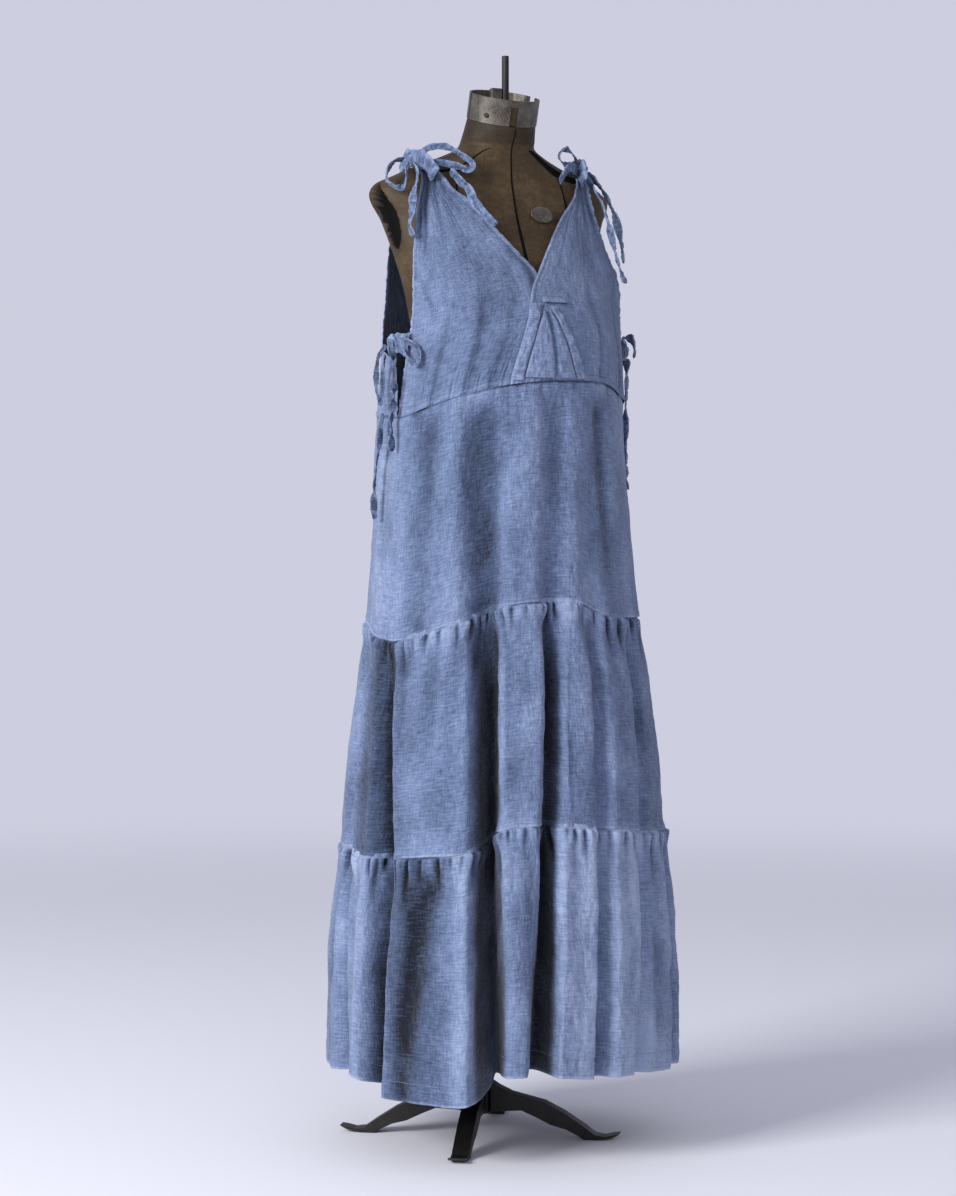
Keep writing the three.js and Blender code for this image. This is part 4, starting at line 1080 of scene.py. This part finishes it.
def makeBodice():
    made = {}
    made["right"] = makeBodicePanel(
        "bodice_front_right",
        (rightArmEdge, underWrapEdge, [rightArmEdge[0], underWrapEdge[0]], (-79.9, -12.5)),
        bodiceLook["rightColumns"], bodicePoint, bodiceLook["rightCreases"], 300, "lr", 16)
    made["left"] = makeBodicePanel(
        "bodice_front_left",
        (wrapEdge, leftArmEdge, [wrapEdge[0], leftArmEdge[0]], (-19, 79.9)),
        bodiceLook["leftColumns"], leftFrontPoint, bodiceLook["leftCreases"], 330, "lr", 16)
    made["back"] = makeBodicePanel(
        "bodice_back", (backSide, backOtherSide, backNeck, (80.1, 279.9)),
        bodiceLook["backColumns"], bodicePoint, [], 360, "lrt", 10)
    for name, panel in made.items():
        points, bend, _ = panel
        stitchLine("stitches_empire_" + name, *rowAbove(panel, bodiceLook["topstitch"]))
        for edge, column in (("one", 4), ("two", points.shape[1] - 5)):
            stitchLine(f"stitches_{name}_edge_{edge}", points[:, column], bend[:, column])
    return made


bodicePanels = makeBodice()
print("bodice sewn:", ", ".join(bodicePanels))

insetLook = {  # height, angle at one side, angle at the other
    "wrap_band": dict(columns=16, crinkle=1.5, flat=(0.019, 0.112, 0.0021), stations=[
        (1056, -18.6, -13), (1065, -18.2, -12.8), (1096, -15.7, -10.6), (1131, -11.6, -6.6),
        (1162, -7.6, -3)]),
    "bust_inset": dict(columns=40, crinkle=0.8, flat=(0.070, 0.096, 0.0042), stations=[
        (1060, -12.4, 13.2), (1065, -12.2, 12.2), (1096, -10, 8.5), (1131, -6, 4.2),
        (1152, -2.4, 0.6)]),
    "inset_band": dict(columns=16, crinkle=1.5, flat=(0.019, 0.104, 0.0019), stations=[
        (1060.5, 13.8, 19.4), (1065, 12.8, 18.4), (1096, 9.1, 14), (1131, 4.8, 9),
        (1158, 1.2, 5.2)]),
    "inset_bar": dict(columns=24, crinkle=0.5, flat=(0.038, 0.011, 0.0004),
                      stations=[(1163.5, -2, 11), (1169, -2, 11)]),
}


def makeBustInset():
    for number, (name, strip) in enumerate(insetLook.items()):
        low, high = strip["stations"][0][0], strip["stations"][-1][0]
        height = np.linspace(high, low, max(8, int((high - low) / 1.3)))
        sides = alongStations(strip["stations"], height)
        share, tall = np.meshgrid(np.linspace(0, 1, strip["columns"]), height)
        angle = mix(sides[:, :1], sides[:, 1:2], share)
        points = leftFrontPoint(angle, tall, trimLift)
        edge = np.minimum(share, 1 - share) * (sides[:, 1:2] - sides[:, :1]) * mmPerDegree
        seed = 400 + 10 * number
        relief = (strip["crinkle"] * 0.55 * softNoise(angle * 0.6, tall / 4.5, seed)
                  + 0.5 * softNoise(angle, tall / 9, seed + 1) + 0.9 * smoothStep(edge, 0, 3) - 0.6)
        if name == "bust_inset":  # folded over down its middle
            relief -= 3.2 * bell(angle, (1160 - tall) / 25 - 1, 1.1)
        points = points + outwardOf(points) * relief[..., None]
        # painted shade in the fold and hollows, painted light on raised cloth; the edges are paler
        wearAndShading = 0.2 + 0.25 * relief.clip(-2, 2) + 0.3 * bell(edge, 0, 1.6)
        *flatSize, cutArea = strip["flat"]
        sewCloth(name, points, wearAndShading, tuple(flatSize), "laid", "cloth_bodice_front_left", "lrt", 2.5,
                 area=cutArea)


makeBustInset()
print("bust inset set in")

armholeHollow = {"centre": (176, 27, 1288), "radii": (50, 20, 50), "lean": -16}
# the skin is made darker towards the top of the neck
neckDarkening = {"amount": 0.45, "from": 1388, "to": 1416}


def neckTilt(x, y, height, middle):
    # the neck's rings tip up towards the back
    tip = smoothStep(height, neckTop["from"], neckTop["to"]) * neckTop["slope"]
    return np.stack([x, y, height + (y - middle) * tip], -1)


def makeTorso():
    heights = np.concatenate([np.arange(800, 1150, 14.0), np.arange(1150, 1429.3, 2.4), [1429.3]])
    angles = np.sort(np.concatenate([np.arange(0, 360, 1.4), [359.6, 0.4, 0.25, 359.75]]))
    angle, height = np.meshgrid(angles, heights)
    halfWidth, front, back, middle = np.moveaxis(alongStations(formSections, height), -1, 0)
    x, y = ringPoint(halfWidth, front, back, middle, angle, 2)
    points = neckTilt(x, y, height, middle)
    tilt = math.radians(armholeHollow["lean"])
    cx, cy, cz = armholeHollow["centre"]
    rx, ry, rz = armholeHollow["radii"]
    y, z = y - cy, points[..., 2] - cz
    localY = y * math.cos(tilt) + z * math.sin(tilt)
    localZ = -y * math.sin(tilt) + z * math.cos(tilt)
    inside = np.maximum(0, 1 - (localY / ry) ** 2 - (localZ / rz) ** 2)
    reach = np.where(inside > 0, np.minimum(np.abs(x), cx - rx * np.sqrt(inside)), np.abs(x))
    hollow = smoothStep(np.abs(x) - reach, 0.2, 2.2)  # painted shade: the skin turns near black inside the armhole hollow
    darkening = neckDarkening["amount"] * smoothStep(height, neckDarkening["from"], neckDarkening["to"])
    points[..., 0] = np.sign(x) * reach
    faces = gridFaces(*angle.shape, closed=True)[:, ::-1].tolist() + capFaces(*angle.shape)
    mesh = meshOf("smooth_form_torso", toFrame(points.reshape(-1, 3)), faces,
                  points[..., [0, 2]].reshape(-1, 2) * mm, np.maximum(hollow, darkening).ravel())
    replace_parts(linkPiece("smooth_form_torso", mesh, "formSkin"), "form_torso")


formSplits = {  # x and height along the front, and the slit's half width
    "split_front": [(0, 1428, 0.5), (0, 1400, 0.6), (0, 1360, 0.8), (0, 1300, 1.2), (0, 1240, 1.9),
                    (0, 1180, 2.4)],
    "split_shoulder_left": [(30, 1387, 0.8), (40, 1383, 3), (78, 1358, 4.6), (120, 1350, 4.2),
                            (154, 1342, 2.2), (165, 1340, 0.6)],
    "split_shoulder_right": [(-30, 1387, 0.3), (-37, 1384, 0.6), (-78, 1357, 1.3), (-112, 1351, 1.5),
                             (-126, 1349, 0.4)],
    "split_princess_left": [(76, 1356, 0.5), (82, 1330, 0.9), (84, 1290, 1.2), (82, 1220, 1.6)],
}
formSplits["split_princess_right"] = [(-x, height, half)
                                      for x, height, half in formSplits["split_princess_left"]]
slitShape = {"across": np.array([-1.5, -1, -0.4, 0.4, 1, 1.5]),
             "lift": np.array([-0.3, 0.7, 0.25, 0.25, 0.7, -0.3])}


# painted shade: each slit is a dark strip laid on the skin, with raised lips, and no gap is cut into the form
def makeSplits():
    for name, stations in formSplits.items():
        line = evenly(smoothCurve(stations, 24), 90)
        x, height, half = line[:, 0], line[:, 1], line[:, 2]
        middle = alongStations(formSections, height)[..., 3]
        centre = neckTilt(x, formSurfaceY(height, x, False), height, middle)
        slopeX = (formSurfaceY(height, x + 1, False) - formSurfaceY(height, x - 1, False)) / 2
        slopeZ = (formSurfaceY(height + 1, x, False) - formSurfaceY(height - 1, x, False)) / 2
        outward = unit(np.stack([slopeX, -np.ones(len(x)), slopeZ], -1))
        side = np.cross(unit(np.gradient(centre, axis=0)), outward)
        points = (centre[:, None] + side[:, None] * (slitShape["across"][:, None] * half[:, None, None])
                  + outward[:, None] * slitShape["lift"][:, None])
        mesh = meshOf(name, toFrame(points.reshape(-1, 3)), gridFaces(*points.shape[:2]))
        linkPiece("form_" + name, mesh, "slit")


makeTorso()
makeSplits()
print("form modelled")


bareParts = {  # finish and how far the edges are rounded
    "neck_plate": ("formSkin", 0.0012), "collar_band_right": ("collar", 0.0006),
    "collar_band_left": ("collar", 0.0006), "collar_band_rear": ("collar", 0.0006),
    "collar_screw": ("iron", 0.0005), "rod": ("iron", 0.0008), "rod_tab": ("collar", 0.0012),
    "badge_plate": ("collar", 0.0006), "foot_hub": ("iron", 0.001), "pole": ("iron", 0.0),
    "leg_1": ("iron", 0.0022), "leg_2": ("iron", 0.0022), "leg_3": ("iron", 0.0022),
    "leg_4": ("iron", 0.0022),
}


def finishPart(name, finish, rounding):
    node = nodes[name]
    for finishSlot in node.material_slots:
        finishSlot.material = finishes[finish]
    if not node.material_slots:
        node.data.materials.append(finishes[finish])
    if rounding:
        weld = node.modifiers.new("weld", "WELD")
        weld.merge_threshold = 0.00002
        edges = node.modifiers.new("roundedEdges", "BEVEL")
        edges.width, edges.segments, edges.limit_method = rounding, 2, "ANGLE"
        edges.angle_limit = math.radians(35)
        edges.harden_normals = False


for partName, (partFinish, partRounding) in bareParts.items():
    finishPart(partName, partFinish, partRounding)
print("stand and collar finished")

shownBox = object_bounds()
({"cad": [list(corner) for corner in cadBox],
           "visual": [list(corner) for corner in shownBox]})
